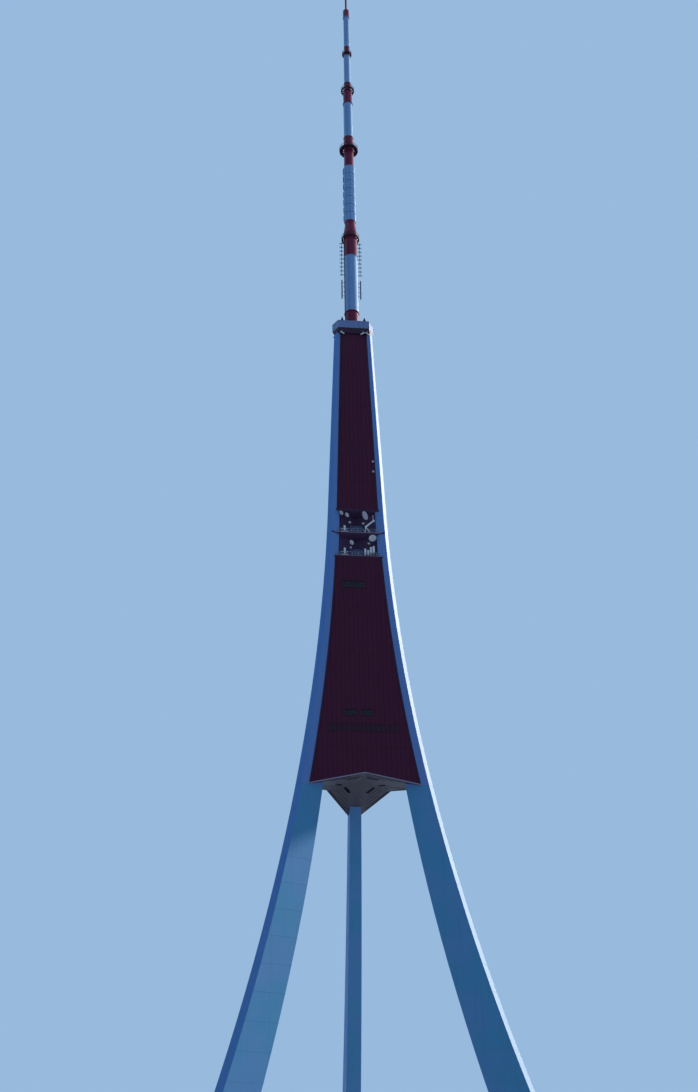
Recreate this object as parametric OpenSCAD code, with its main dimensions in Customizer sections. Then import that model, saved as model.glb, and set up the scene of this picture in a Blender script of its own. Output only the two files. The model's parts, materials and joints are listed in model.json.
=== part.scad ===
// Three-legged radio and television tower with a clad body and a stepped antenna mast.
// Scale model at one tenth of the real size, in millimetres: 100 mm stand for one metre.
// The origin is on the ground in the middle of the three feet's outline, +Z is up and the
// front face looks along -Y.

/* [Body] */
// Height of the legs below the clad body
body_z = 8800; // [7300:10:10600]
// Rise of the body's bottom edge from the legs to the middle of each face
gable_rise = 270; // [120:2:420]
// Height of the lower walls, up to the open equipment storeys
lower_wall_h = 5910; // [4900:10:7100]
// Clear height of one open equipment storey
storey_h = 635; // [500:1:780]
// Height of the upper walls, up to the crown
upper_wall_h = 5700; // [4800:10:6800]

/* [Legs] */
// Distance from the axis to the outer face at the top of a leg
leg_top_r = 564.3; // [500:0.1:640]
// Outward slope of the straight upper stretch, in percent
leg_batter = 4.13; // [2:0.01:6]
// Height of the straight upper stretch, above the arc
leg_straight_h = 5700; // [4800:10:6800]
// Radius of the arc that the outer face follows down to the ground
leg_arc_r = 45550; // [37500:10:55000]
// Height of one straight welded section of a leg
leg_section_h = 550; // [400:10:1100]
// Radial depth of a leg at the ground
leg_depth_foot = 940; // [800:5:1050]
// Radial depth of a leg where the body begins
leg_depth_body = 550; // [460:5:640]
// Radial depth of a leg at the equipment storeys
leg_depth_equipment = 240; // [200:5:300]
// Radial depth of a leg at its top
leg_depth_top = 150; // [120:5:200]
// Width of a leg at the ground
leg_width_foot = 365; // [300:5:430]
// Width of a leg where the body begins
leg_width_body = 265; // [220:5:310]
// Width of a leg at its top
leg_width_top = 150; // [120:5:180]
// How far a leg stands out of the walls where the body begins
fin_body = 150; // [80:2:200]
// How far a leg stands out of the walls at its top
fin_top = 68; // [40:2:90]

/* [Walls and floors] */
// Thickness of the clad walls
wall_t = 30; // [15:1:45]
// Width of the recessed strip between the cladding and a leg
recess_w = 42; // [35:1:50]
// Depth of the recessed strip
recess_d = 15; // [12:1:18]
// Thickness of the folded soffit plates
soffit_t = 26; // [15:1:40]
// How far the soffit plates stand out below the walls
soffit_lip = 6; // [0:1:15]
// Thickness of the floors
floor_t = 40; // [25:1:60]
// Clearance round pieces that sit inside the walls
seat_gap = 0.3; // [0.1:0.1:0.8]
// Height of the viewing floor over the body's bottom edge
viewing_floor_rise = 1160; // [900:5:1400]
// Height of the upper viewing floor over the viewing floor
upper_floor_rise = 460; // [380:2:560]
// Distance of the service floor below the equipment storeys
service_floor_drop = 966; // [805:2:1150]

/* [Windows] */
// Sill of the narrow windows over the viewing floor
slit_sill = 120; // [80:2:150]
// Height of a narrow window
slit_h = 175; // [140:1:210]
// Width of a narrow window
slit_w = 45; // [25:1:60]
// Distance between narrow windows
slit_pitch = 110; // [90:1:120]
// Number of narrow windows in a face
slit_count = 15; // [3:2:17]
// Sill of the wide windows over the upper viewing floor
wide_sill = 55; // [40:1:70]
// Height of a wide window
wide_h = 140; // [110:1:170]
// Width of a wide window
wide_w = 280; // [230:1:340]
// Distance between the two wide windows
wide_gap = 85; // [70:1:110]
// Shift of the two wide windows along their face
wide_shift = -100; // [-120:1:-80]
// Sill of the single window over the service floor
single_sill = 100; // [80:1:120]
// Height of the single window
single_h = 180; // [150:1:216]
// Width of the single window
single_w = 560; // [465:1:600]
// Shift of the single window along its face
single_shift = -140; // [-168:1:-110]

/* [Soffit vents] */
// Distance of the vents from the axis, square to a face
vent_r = 440; // [380:5:520]
// Width of a vent
vent_w = 60; // [30:5:90]
// Length of a vent
vent_len = 260; // [150:5:320]
// Distance between a vent and the fold at the middle of a face
vent_start = 90; // [60:5:140]

/* [Equipment storeys] */
// Diameter of the upright pipes that carry the dishes
pipe_d = 12; // [8:1:18]
// Distance from the pipes to the outer plane of the walls
pipe_inset = 45; // [35:1:70]
// Height of the railings
rail_h = 110; // [90:1:130]
// Section of the rails and posts
rail_t = 6; // [4:1:9]
// Distance of the railings from the edge of a floor
rail_inset = 12; // [8:1:20]
// Number of posts in one railing
rail_posts = 7; // [3:1:8]
// Distance between the posts
rail_pitch = 150; // [90:5:160]

/* [Deck equipment] */
// Thickness of the partitions that part the three sides
partition_t = 20; // [16:1:24]
// Number of cabinets in a row on a deck
cabinet_count = 4; // [3:1:5]
// Width of a cabinet
cabinet_w = 75; // [62:1:90]
// Depth of a cabinet
cabinet_d = 60; // [50:1:72]
// Height of a cabinet
cabinet_h = 245; // [204:1:290]
// Gap between two cabinets
cabinet_gap = 10; // [8:1:12]
// Distance from the pipes to the front of the cabinets
cabinet_setback = 60; // [50:1:72]
// Shift of the cabinets along their side
cabinet_shift = -35; // [-42:1:-29]
// Distance from the pipes to the panels that stand on the decks
deck_panel_reach = 24; // [22:1:26]
// Width of a deck panel
deck_panel_w = 48; // [40:1:56]
// Thickness of a deck panel
deck_panel_t = 14; // [12:1:15]
// Length of the crossbars behind the single panels
crossbar_len = 170; // [142:1:180]
// Thickness of the crossbars
crossbar_t = 16; // [13:1:19]
// Height of the davit's joint over the deck
davit_h = 185; // [154:1:222]
// Distance that the davit's boom reaches sideways
davit_reach = 207; // [172:1:215]
// Rise of the davit's boom
davit_lift = 190; // [158:1:228]
// Diameter of the davit's boom
davit_d = 40; // [33:1:44]
// Diameter of the pin that joins the davit's boom to its legs
davit_pin_d = 50; // [44:1:56]
// Diameter of the davit's legs
davit_leg_d = 24; // [20:1:26]
// Distance between the davit's feet
davit_spread = 130; // [108:1:140]
// Distance of the outer foot from the davit's joint
davit_foot = 104; // [87:1:108]
// Place of the davit along half of the open side
davit_share = 0.43; // [0.38:0.01:0.46]
// Height of the rod on the boom's end
davit_rod_h = 150; // [125:1:180]

/* [Dishes] */
// Depth of a dish for each millimetre of its diameter
dish_depth_ratio = 0.16; // [0.1:0.01:0.25]
// Thickness of a dish
dish_t = 3; // [2:0.5:5]
// Distance from a pipe to the back of its dish
dish_reach = 14; // [12:1:17]
// Distance of the feed from the back of a dish, for each millimetre of the dish's depth
feed_reach_ratio = 1.6; // [1.3:0.1:1.9]
// Diameter of the feed in front of a dish
feed_d = 9; // [6:1:14]
// Diameter of the bracket between a pipe and its dish
bracket_d = 8; // [6:1:12]
// Diameter of the two small dishes on the front wall
wall_dish_d = 56; // [47:1:67]
// Distance of the small dishes from the wall
wall_dish_reach = 30; // [25:1:36]
// Distance of the small dishes from the middle of the wall
wall_dish_along = 425; // [355:1:440]
// Height of the lower small dish over the open storeys
wall_dish_rise = 1130; // [940:1:1350]
// Distance between the two small dishes
wall_dish_pitch = 310; // [260:1:370]

/* [Crown] */
// How far the crown stands out over the legs
crown_overhang = 11; // [9:1:40]
// Rise of the crown's sloping underside, from the top of the legs
crown_rise = 140; // [117:1:168]
// Length of a short side of the crown, over a leg
crown_side = 280; // [230:1:340]
// Height of the crown's parapet
crown_h = 240; // [200:1:290]
// Thickness of the crown's parapet
parapet_t = 25; // [20:1:30]
// Height of the pointed caps on the roof, above the parapet
roof_cap_rise = 200; // [167:1:240]
// Height at which a cap's cone starts over the parapet
roof_cap_neck = 70; // [58:1:84]
// Diameter of a pointed cap at its base
roof_cap_d = 84; // [70:1:100]
// Distance of a pointed cap from the middle of a face, along the face
roof_cap_along = 310; // [250:1:330]
// Width of a lamp under the crown
lamp_w = 125; // [104:1:138]
// Depth of a lamp
lamp_d = 36; // [30:1:43]
// Height of a lamp
lamp_h = 30; // [25:1:36]
// Angle by which a lamp looks down
lamp_tilt = 40; // [33:1:48]
// Angle by which a lamp is turned sideways
lamp_turn = 35; // [29:1:42]
// Distance of the single lamp and of the pair of lamps from the middle of a face
lamp_along = 314; // [262:1:330]
// Distance between the two lamps of the pair
lamp_pitch = 140; // [117:1:168]
// Distance of the lamps from the foot of the crown's underside
lamp_out = 30; // [26:1:36]
// Distance of the lamps below the top of the legs
lamp_drop = 17; // [14:1:20]

/* [Mast] */
// Diameter of the base drum
drum_d = 385; // [320:1:462]
// Height of the base drum
drum_h = 780; // [650:1:936]
// Thickness of a flange, and how far it stands out of its tube
flange_t = 20; // [16:1:24]
// Diameter of the lowest tubes
low_tube_d = 395; // [330:1:474]
// Height of the lowest white tube
white_low_h = 2060; // [1710:1:2480]
// Height of the lowest red tube, below its cone
red_low_h = 940; // [780:1:1130]
// Height of the cone
cone_h = 315; // [260:1:380]
// Diameter of the collar above the cone
collar_d = 310; // [258:1:372]
// Height of the collar
collar_h = 135; // [112:1:162]
// Diameter across the corners of the panel antenna
panel_d = 340; // [310:1:408]
// Height of one bay of the panel antenna
panel_bay_h = 319; // [265:1:383]
// Number of bays in the panel antenna
panel_bays = 7; // [5:1:9]
// Gap between two bays
panel_gap = 22; // [18:1:27]
// Diameter of the tubes inside the panel antenna and above it
mid_tube_d = 292; // [243:1:300]
// Height of the second red tube
red_mid_h = 1270; // [1060:1:1530]
// Diameter of the second white tube
mid_white_d = 276; // [230:1:332]
// Height of the second white tube
white_mid_h = 1490; // [1240:1:1790]
// Height of the third red tube below its platform
red_high_h = 630; // [525:1:756]
// Diameter of the third red tube above its platform
high_red_d = 210; // [175:1:252]
// Height of the third red tube above its platform
red_neck_h = 340; // [283:1:408]
// Diameter of the third white tube
high_white_d = 205; // [170:1:246]
// Height of the third white tube
white_high_h = 1270; // [1060:1:1530]
// Diameter of the top red tube
top_red_d = 165; // [137:1:170]
// Height of the top red tube
red_top_h = 450; // [375:1:540]
// Diameter across the corners of the top antenna
top_antenna_d = 172; // [160:1:206]
// Height of one bay of the top antenna
top_bay_h = 292; // [243:1:351]
// Number of bays in the top antenna
top_bays = 5; // [3:1:8]
// Diameter of the cap
cap_d = 200; // [167:1:240]
// Height of the cap
cap_h = 450; // [375:1:540]
// Diameter of the rod at the tip
rod_d = 62; // [52:1:75]
// Height of the rod at the tip
rod_h = 1047; // [870:1:1260]

/* [Mast platforms] */
// Distance of the lowest platform below the cone
lowest_platform_drop = 225; // [187:1:270]
// Diameter of the lowest platform
lowest_platform_d = 522; // [480:1:627]
// Height of the middle platform over the foot of its tube
middle_platform_rise = 730; // [608:1:876]
// Diameter of the middle platform
middle_platform_d = 570; // [475:1:684]
// Diameter of the upper platform
upper_platform_d = 418; // [360:1:502]
// Height of the highest platform over the foot of its tube
highest_platform_rise = 105; // [88:1:126]
// Diameter of the highest platform
highest_platform_d = 306; // [255:1:368]
// Thickness of a platform's floor
platform_t = 26; // [22:1:31]
// Height of a platform's railing
platform_rail_h = 95; // [79:1:114]
// Number of posts and brackets round a platform
platform_posts = 12; // [6:2:18]
// Gap between a platform's floor and the tube
platform_gap = 24; // [20:1:29]

/* [Mast side antennas] */
// Length of the arms that carry the side antennas
side_arm = 70; // [58:1:84]
// Height of the dipole rows over the foot of the lowest tube
dipole_rise = 1420; // [1180:5:1700]
// Number of dipoles in one row
dipole_count = 9; // [4:1:9]
// Distance between dipoles
dipole_pitch = 150; // [125:1:180]
// Length of a dipole
dipole_len = 110; // [92:1:124]
// Thickness of the uprights, dipoles and arms
dipole_t = 16; // [13:1:19]
// Height of the side panels over the foot of the lowest tube
side_panel_rise = 570; // [475:1:684]
// Height of one side panel
side_panel_h = 300; // [250:1:360]
// Width of a side panel
side_panel_w = 70; // [58:1:84]
// Thickness of a side panel
side_panel_t = 30; // [25:1:36]
// Distance between the two side panels of a side
side_panel_gap = 40; // [33:1:48]

/* [Hidden] */
$fn = 48;

// Directions of the legs and of the faces, from +X towards +Y
LEG_BACK = 90;
LEG_LEFT = 210;
LEG_RIGHT = 330;
FACE_FRONT = 270;
FACE_RIGHT = 30;
FACE_LEFT = 150;
FACES = [FACE_FRONT, FACE_RIGHT, FACE_LEFT];

far = 6000;
apex_z = body_z + gable_rise;
equipment_z = body_z + lower_wall_h;
ceiling_z = equipment_z + 2 * storey_h + 3 * floor_t;
body_top_z = ceiling_z + upper_wall_h;
crown_z = body_top_z + crown_rise;
roof_z = crown_z + floor_t;
arc_top_z = body_top_z - leg_straight_h;

viewing_floor_z = body_z + viewing_floor_rise;
upper_floor_z = viewing_floor_z + upper_floor_rise;
service_floor_z = equipment_z - service_floor_drop;

drum_top_z = roof_z + drum_h;
low_red_z = drum_top_z + white_low_h;
cone_z = low_red_z + red_low_h;
cone_top_z = cone_z + cone_h;
panel_z = cone_top_z + collar_h;
mid_red_z = panel_z + panel_bays * panel_bay_h;
mid_white_z = mid_red_z + red_mid_h;
high_red_z = mid_white_z + white_mid_h;
upper_platform_z = high_red_z + red_high_h;
high_white_z = upper_platform_z + red_neck_h;
top_red_z = high_white_z + white_high_h;
top_antenna_z = top_red_z + red_top_h;
cap_z = top_antenna_z + top_bays * top_bay_h;
cap_top_z = cap_z + cap_h;
tip_z = cap_top_z + rod_h;
lowest_platform_z = cone_z - lowest_platform_drop;
middle_platform_z = mid_red_z + middle_platform_rise;
highest_platform_z = top_red_z + highest_platform_rise;

crown_r = leg_top_r + crown_overhang;
crown_long_r = crown_r * cos(60) + crown_side / 2 * sin(60);
crown_foot_r = leg_top_r * cos(60) + leg_width_top / 2 * sin(60);

// Centre of the arc in a leg's radial plane, tangent to the straight upper stretch
slope = leg_batter / 100;
slope_len = sqrt(1 + slope * slope);
arc_centre_r = leg_top_r + slope * (body_top_z - arc_top_z) + leg_arc_r / slope_len;
arc_centre_z = arc_top_z + leg_arc_r * slope / slope_len;

// Outer face of a leg as a smooth curve
function leg_curve(z) = z >= arc_top_z
    ? leg_top_r + slope * (body_top_z - z)
    : arc_centre_r - sqrt(pow(leg_arc_r, 2) - pow(z - arc_centre_z, 2));

function leg_depth(z) = lookup(z, [
    [0, leg_depth_foot], [body_z, leg_depth_body],
    [equipment_z, leg_depth_equipment], [body_top_z, leg_depth_top]]);
function leg_width(z) = lookup(z, [
    [0, leg_width_foot], [body_z, leg_width_body], [body_top_z, leg_width_top]]);
function fin(z) = lookup(z, [[body_z, fin_body], [body_top_z, fin_top]]);

// Legs are built from straight sections between points of their curves
function section_foot(z) = floor(z / leg_section_h) * leg_section_h;
function section_share(z) = (z - section_foot(z)) / leg_section_h;
function leg_outer_r(z) =
    let (foot = section_foot(z), share = section_share(z))
    leg_curve(foot) * (1 - share) + leg_curve(foot + leg_section_h) * share;
function leg_inner_curve(z) = leg_curve(z) - leg_depth(z);
function leg_inner_r(z) =
    let (foot = section_foot(z), share = section_share(z))
    leg_inner_curve(foot) * (1 - share) + leg_inner_curve(foot + leg_section_h) * share;

// The axis stands behind the middle of the outline, because one foot is at the back
foot_back_y = leg_outer_r(0);
foot_front_y = -cos(60) * leg_outer_r(0) - sin(60) * leg_width(0) / 2;
axis_y = -(foot_back_y + foot_front_y) / 2;

module on_axis()
    translate([0, axis_y, 0])
        children();

// Distance from the axis to the outer plane of a wall, which ends on the legs' sides
function wall_r(z) = cos(60) * (leg_outer_r(z) - fin(z)) + sin(60) * leg_width(z) / 2;

// Levels of the section joints between two heights, with both ends
function levels(low, high) = concat(
    [low],
    [for (i = [floor(low / leg_section_h) + 1 : ceil(high / leg_section_h) - 1])
        i * leg_section_h],
    [high]);
function side_levels(low, high) =
    low < body_z && body_z < high ? [low, body_z, high] : [low, high];
function reversed(list) = [for (i = [len(list) - 1 : -1 : 0]) list[i]];

// Extrudes an outline drawn as (distance from the axis, height) along a face or leg's width
module along_width(width = 2 * far)
    rotate([90, 0, 0])
        linear_extrude(height = width, center = true)
            children();

// Extrudes an outline drawn as (distance sideways, height) outwards from the axis
module outwards()
    rotate([90, 0, 90])
        linear_extrude(height = 2 * far, center = true)
            children();

// Leg that looks along +X, or with beyond also the space outside it
module leg(low, high, beyond = 0)
    intersection() {
        steps = levels(low, high);
        along_width()
            polygon(concat(
                [for (z = steps) [leg_outer_r(z) + beyond, z]],
                [for (z = reversed(steps)) [leg_inner_r(z), z]]));
        outwards()
            polygon(concat(
                [for (z = side_levels(low, high)) [leg_width(z) / 2, z]],
                [for (z = reversed(side_levels(low, high))) [-leg_width(z) / 2, z]]));
    }

// Slab of the space inside the three wall planes, drawn in from them by inset
module inside_walls(low, high, inset, faces = FACES)
    intersection_for (face = faces)
        rotate(face)
            along_width() {
                steps = levels(low, high);
                polygon(concat(
                    [for (z = steps) [wall_r(z) - inset, z]],
                    [[-far, high], [-far, low]]));
            }

// Space between the two legs beside a face that looks along +X, with a margin to each leg
module between_legs(low, high, margin = 0)
    intersection_for (side = [1, -1])
        rotate(60 * side)
            outwards()
                polygon([
                    [-side * (leg_width(low) / 2 + margin), low],
                    [-side * (leg_width(high) / 2 + margin), high],
                    [-side * far, high], [-side * far, low]]);

// Curved leaf of a wall, from its inner plane out to a given distance inside its outer plane
module wall_leaf(low, high, inset, margin)
    intersection() {
        steps = levels(low, high);
        along_width()
            polygon(concat(
                [for (z = steps) [wall_r(z) - inset, z]],
                [for (z = reversed(steps)) [wall_r(z) - wall_t, z]]));
        between_legs(low, high, margin);
    }

// Wall whose cladding stops short of the legs and leaves a recessed strip beside each
module wall(low, high) {
    wall_leaf(low, high, recess_d, 0);
    wall_leaf(low, high, 0, recess_w);
}

// The soffit plate of a leg falls from the middle of the faces beside it to the leg
fold_r = cos(60) * wall_r(apex_z);
fold_tilt = atan(gable_rise / (leg_outer_r(body_z) - fin_body - fold_r));

module on_soffit_plane()
    translate([fold_r, 0, apex_z])
        rotate([0, fold_tilt, 0])
            children();

module below_soffit_top()
    on_soffit_plane()
        translate([-far, -far, soffit_t - far])
            cube([2 * far, 2 * far, far]);

module vent(side)
    rotate(60 * side)
        translate([vent_r - vent_w / 2, side > 0 ? -vent_start - vent_len : vent_start, body_z])
            cube([vent_w, vent_len, 2 * gable_rise]);

module soffit_plate()
    difference() {
        intersection() {
            on_soffit_plane()
                translate([-far, -far, 0])
                    cube([2 * far, 2 * far, soffit_t]);
            inside_walls(body_z - leg_section_h, equipment_z, -soffit_lip, [60, -60, 180]);
            linear_extrude(height = equipment_z)
                polygon([[0, 0], [far * cos(60), -far * sin(60)],
                         [far, 0], [far * cos(60), far * sin(60)]]);
        }
        leg(body_z - leg_section_h, equipment_z, far);
        vent(1);
        vent(-1);
    }

module opening(along, sill, width, height)
    translate([0, along - width / 2, sill])
        cube([far, width, height]);

module lower_wall()
    difference() {
        wall(body_z, equipment_z);
        intersection() {
            rotate(60)
                below_soffit_top();
            rotate(-60)
                below_soffit_top();
        }
        for (i = [0 : slit_count - 1])
            opening((i - (slit_count - 1) / 2) * slit_pitch, viewing_floor_z + slit_sill,
                    slit_w, slit_h);
        for (side = [-1, 1])
            opening(side * (wide_w + wide_gap) / 2 + wide_shift, upper_floor_z + wide_sill,
                    wide_w, wide_h);
        opening(single_shift, service_floor_z + single_sill, single_w, single_h);
    }

// Floor inside the walls or, with no inset, out to their outer plane
module floor_plate(top, inset)
    difference() {
        inside_walls(top - floor_t, top, inset);
        for (side = [LEG_BACK, LEG_LEFT, LEG_RIGHT])
            rotate(side)
                leg(body_z, body_top_z, far);
    }

// Level of the walking surface in an open storey
function deck_z(storey) = equipment_z + floor_t + storey * (storey_h + floor_t);

// Railing along one open side, which looks along +X
module railing(level)
    intersection() {
        rail_x = wall_r(level + rail_h) - rail_inset - rail_t;
        union() {
            for (height = [rail_h / 2, rail_h])
                translate([rail_x, -far / 2, level + height - rail_t])
                    cube([rail_t, far, rail_t]);
            for (i = [0 : rail_posts - 1])
                translate([rail_x, (i - (rail_posts - 1) / 2) * rail_pitch - rail_t / 2, level])
                    cube([rail_t, rail_t, rail_h]);
        }
        between_legs(level, level + rail_h);
    }

// Dish on its bracket, facing along +X with the pipe's axis at the origin
module dish(diameter) {
    depth = diameter * dish_depth_ratio;
    back = pipe_d / 2 + dish_reach;
    feed_reach = depth * feed_reach_ratio;
    rings = 6;
    rotate([0, 90, 0]) {
        translate([0, 0, back])
            rotate_extrude()
                polygon(concat(
                    [for (i = [0 : rings]) [diameter / 2 * i / rings, depth * pow(i / rings, 2)]],
                    [for (i = [rings : -1 : 0])
                        [diameter / 2 * i / rings, depth * pow(i / rings, 2) + dish_t]]));
        cylinder(d = bracket_d, h = back + dish_t / 2);
        translate([0, 0, back + dish_t / 2])
            cylinder(d = feed_d / 2, h = feed_reach);
        translate([0, 0, back + feed_reach])
            cylinder(d = feed_d, h = feed_d);
    }
}

// Half the width of the open sides where the pipes stand
pipe_x = wall_r(ceiling_z) - pipe_inset;
open_half_w = (pipe_x * sin(60) - leg_width(ceiling_z) / 2) / cos(60);

// Storey, place along the half width, distance below the ceiling, diameter and turn of a dish
DISHES = [
    [1, -0.91, 75, 120, 35], [1, -0.61, 130, 125, 35], [1, 0.31, 135, 235, 46],
    [1, -0.43, 340, 60, 10], [1, 0.31, 360, 60, -15],
    [0, -0.38, 245, 125, 30], [0, 0.79, 110, 188, -12], [0, 0.55, 255, 60, 15],
    [0, -0.38, 385, 50, -10]
];

// Dishes and their pipes on the open side that looks along +X
module dish_group()
    for (entry = DISHES)
        translate([pipe_x, entry[1] * open_half_w, deck_z(entry[0])]) {
            cylinder(d = pipe_d, h = storey_h);
            translate([0, 0, storey_h - entry[2]])
                rotate(entry[4])
                    dish(entry[3]);
        }

// Partitions of both storeys between the axis and the legs
module partitions()
    difference() {
        for (side = [LEG_BACK, LEG_LEFT, LEG_RIGHT], storey = [0, 1])
            rotate(side)
                translate([0, -partition_t / 2, deck_z(storey)])
                    cube([leg_outer_r(deck_z(storey)), partition_t, storey_h]);
        for (side = [LEG_BACK, LEG_LEFT, LEG_RIGHT])
            rotate(side)
                leg(body_z, body_top_z, far);
    }

module cabinet_row(level)
    for (i = [0 : cabinet_count - 1])
        translate([pipe_x - cabinet_setback - cabinet_d,
                   (i - cabinet_count / 2) * (cabinet_w + cabinet_gap) + cabinet_shift, level])
            cube([cabinet_d, cabinet_w, cabinet_h]);

// Storey, place along the half width, height of the top over the deck and length of a panel
DECK_PANELS = [
    [1, -0.7, 200, 140], [0, -0.71, 235, 160], [0, 0.37, 230, 180],
    [0, 0.53, 190, 130], [0, 0.67, 280, 170], [0, 0.82, 310, 190]
];

// Panels on posts on the decks of the open side that looks along +X, with crossbars on the left
module deck_panel_group()
    for (entry = DECK_PANELS)
        translate([pipe_x + deck_panel_reach, entry[1] * open_half_w, deck_z(entry[0])]) {
            translate([-bracket_d / 2, -bracket_d / 2, 0])
                cube([bracket_d, bracket_d, entry[2]]);
            translate([-deck_panel_t / 2, -deck_panel_w / 2, entry[2] - entry[3]])
                cube([deck_panel_t, deck_panel_w, entry[3]]);
            if (entry[1] < 0)
                for (share = [0.15, 0.5])
                    translate([-crossbar_t / 2, -crossbar_len / 2, entry[2] * share])
                        cube([crossbar_t, crossbar_len, crossbar_t]);
        }

// Straight round bar between two points
module strut(from, to, diameter) {
    line = to - from;
    translate(from)
        rotate([0, acos(line[2] / norm(line)), atan2(line[1], line[0])])
            cylinder(d = diameter, h = norm(line));
}

// Small hoist with its boom on two splayed legs and a foot plate
module davit() {
    joint = [0, 0, davit_h];
    foot_y = davit_foot - davit_spread;
    translate([pipe_x + deck_panel_reach, davit_share * open_half_w, deck_z(1)]) {
        strut([0, foot_y, bracket_d / 2], joint, davit_leg_d);
        strut([0, davit_foot, bracket_d / 2], joint, davit_leg_d);
        strut(joint, joint + [0, davit_reach, davit_lift], davit_d);
        translate(joint + [0, davit_reach - davit_d / 2, davit_lift])
            cylinder(d = pipe_d, h = davit_rod_h);
        translate(joint)
            rotate([0, 90, 0])
                cylinder(d = davit_pin_d, h = 2 * deck_panel_t, center = true);
        translate([-deck_panel_t, foot_y - davit_d, 0])
            cube([2 * deck_panel_t, davit_spread + 2 * davit_d, bracket_d]);
    }
}

// Small dish on a bracket from the upper wall of the face that looks along +X
module wall_dish(rise)
    translate([wall_r(ceiling_z + rise), wall_dish_along, ceiling_z + rise]) {
        translate([0, -bracket_d / 2, -bracket_d / 2])
            cube([wall_dish_reach, bracket_d, bracket_d]);
        translate([wall_dish_reach - pipe_d / 2, 0, 0])
            dish(wall_dish_d);
    }

module crown_outline(inset)
    polygon([for (side = [LEG_RIGHT, LEG_BACK, LEG_LEFT], end = [-1, 1])
        let (half = crown_side / 2 - inset * tan(30))
        [cos(side) * (crown_r - inset) - sin(side) * half * end,
         sin(side) * (crown_r - inset) + cos(side) * half * end]]);

// One side of the crown's deck, whose underside slopes out from the legs' tops to the parapet
module crown_section(foot_r, edge_r)
    along_width()
        polygon([
            [-far, body_top_z], [foot_r, body_top_z], [edge_r, crown_z],
            [edge_r - parapet_t, crown_z], [edge_r - parapet_t, roof_z], [-far, roof_z]]);

module crown_deck()
    intersection() {
        intersection_for (side = FACES)
            rotate(side)
                crown_section(crown_foot_r, crown_long_r);
        intersection_for (side = [LEG_BACK, LEG_LEFT, LEG_RIGHT])
            rotate(side)
                crown_section(leg_top_r, crown_r);
    }

module tube(low, height, diameter)
    translate([0, 0, low])
        cylinder(d = diameter, h = height);

// Ring walkway with its brackets and railing round a tube
module platform(level, diameter, tube_diameter) {
    inner_r = tube_diameter / 2 + platform_gap;
    outer_r = diameter / 2;
    translate([0, 0, level]) {
        rotate_extrude()
            translate([inner_r, 0])
                square([outer_r - inner_r, platform_t]);
        for (height = [platform_rail_h / 2, platform_rail_h])
            rotate_extrude()
                translate([outer_r - rail_t, platform_t + height - rail_t])
                    square([rail_t, rail_t]);
        for (i = [0 : platform_posts - 1])
            rotate(i * 360 / platform_posts) {
                translate([outer_r - rail_t, -rail_t / 2, platform_t / 2])
                    cube([rail_t, rail_t, platform_t / 2 + platform_rail_h]);
                translate([tube_diameter / 2 + seat_gap, -rail_t / 2, -platform_t])
                    cube([outer_r - tube_diameter / 2 - seat_gap, rail_t, 1.5 * platform_t]);
            }
    }
}

side_r = low_tube_d / 2 + side_arm;

module side_arm_at(level)
    translate([low_tube_d / 2, -dipole_t / 2, level])
        cube([side_arm, dipole_t, dipole_t]);

// Upright with a row of short dipoles, on arms from the tube, on the side of +X
module dipole_row()
    translate([0, 0, drum_top_z + dipole_rise]) {
        translate([side_r - dipole_t / 2, -dipole_t / 2, 0])
            cube([dipole_t, dipole_t, (dipole_count - 1) * dipole_pitch + dipole_t]);
        for (i = [0 : dipole_count - 1])
            translate([side_r - dipole_len / 2, -dipole_t / 2, i * dipole_pitch])
                cube([dipole_len, dipole_t, dipole_t]);
        for (i = [0, dipole_count - 1])
            side_arm_at(i * dipole_pitch);
    }

module side_panel(level) {
    translate([side_r - side_panel_t / 2, -side_panel_w / 2, level])
        cube([side_panel_t, side_panel_w, side_panel_h]);
    for (share = [1 / 4, 3 / 4])
        side_arm_at(level + share * side_panel_h);
}

module leg_front_left_lower() on_axis() color("gainsboro") rotate(LEG_LEFT) leg(0, body_z);
module leg_front_right_lower() on_axis() color("gainsboro") rotate(LEG_RIGHT) leg(0, body_z);
module leg_back_lower() on_axis() color("gainsboro") rotate(LEG_BACK) leg(0, body_z);
module leg_front_left_upper() on_axis() color("gainsboro") rotate(LEG_LEFT) leg(body_z, body_top_z);
module leg_front_right_upper() on_axis() color("gainsboro") rotate(LEG_RIGHT) leg(body_z, body_top_z);
module leg_back_upper() on_axis() color("gainsboro") rotate(LEG_BACK) leg(body_z, body_top_z);

module wall_front_lower() on_axis() color("maroon") rotate(FACE_FRONT) lower_wall();
module wall_back_right_lower() on_axis() color("maroon") rotate(FACE_RIGHT) lower_wall();
module wall_back_left_lower() on_axis() color("maroon") rotate(FACE_LEFT) lower_wall();
module wall_front_upper() on_axis() color("maroon") rotate(FACE_FRONT) wall(ceiling_z, body_top_z);
module wall_back_right_upper() on_axis() color("maroon") rotate(FACE_RIGHT) wall(ceiling_z, body_top_z);
module wall_back_left_upper() on_axis() color("maroon") rotate(FACE_LEFT) wall(ceiling_z, body_top_z);

module soffit_front_left() on_axis() color("dimgray") rotate(LEG_LEFT) soffit_plate();
module soffit_front_right() on_axis() color("dimgray") rotate(LEG_RIGHT) soffit_plate();
module soffit_back() on_axis() color("dimgray") rotate(LEG_BACK) soffit_plate();

module viewing_floor() on_axis() color("gray") floor_plate(viewing_floor_z, wall_t + seat_gap);
module upper_viewing_floor() on_axis() color("gray") floor_plate(upper_floor_z, wall_t + seat_gap);
module service_floor() on_axis() color("gray") floor_plate(service_floor_z, wall_t + seat_gap);
module equipment_floor() on_axis() color("gray") floor_plate(deck_z(0), 0);
module equipment_mid_floor() on_axis() color("gray") floor_plate(deck_z(1), 0);
module equipment_ceiling() on_axis() color("gray") floor_plate(ceiling_z, 0);

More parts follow.
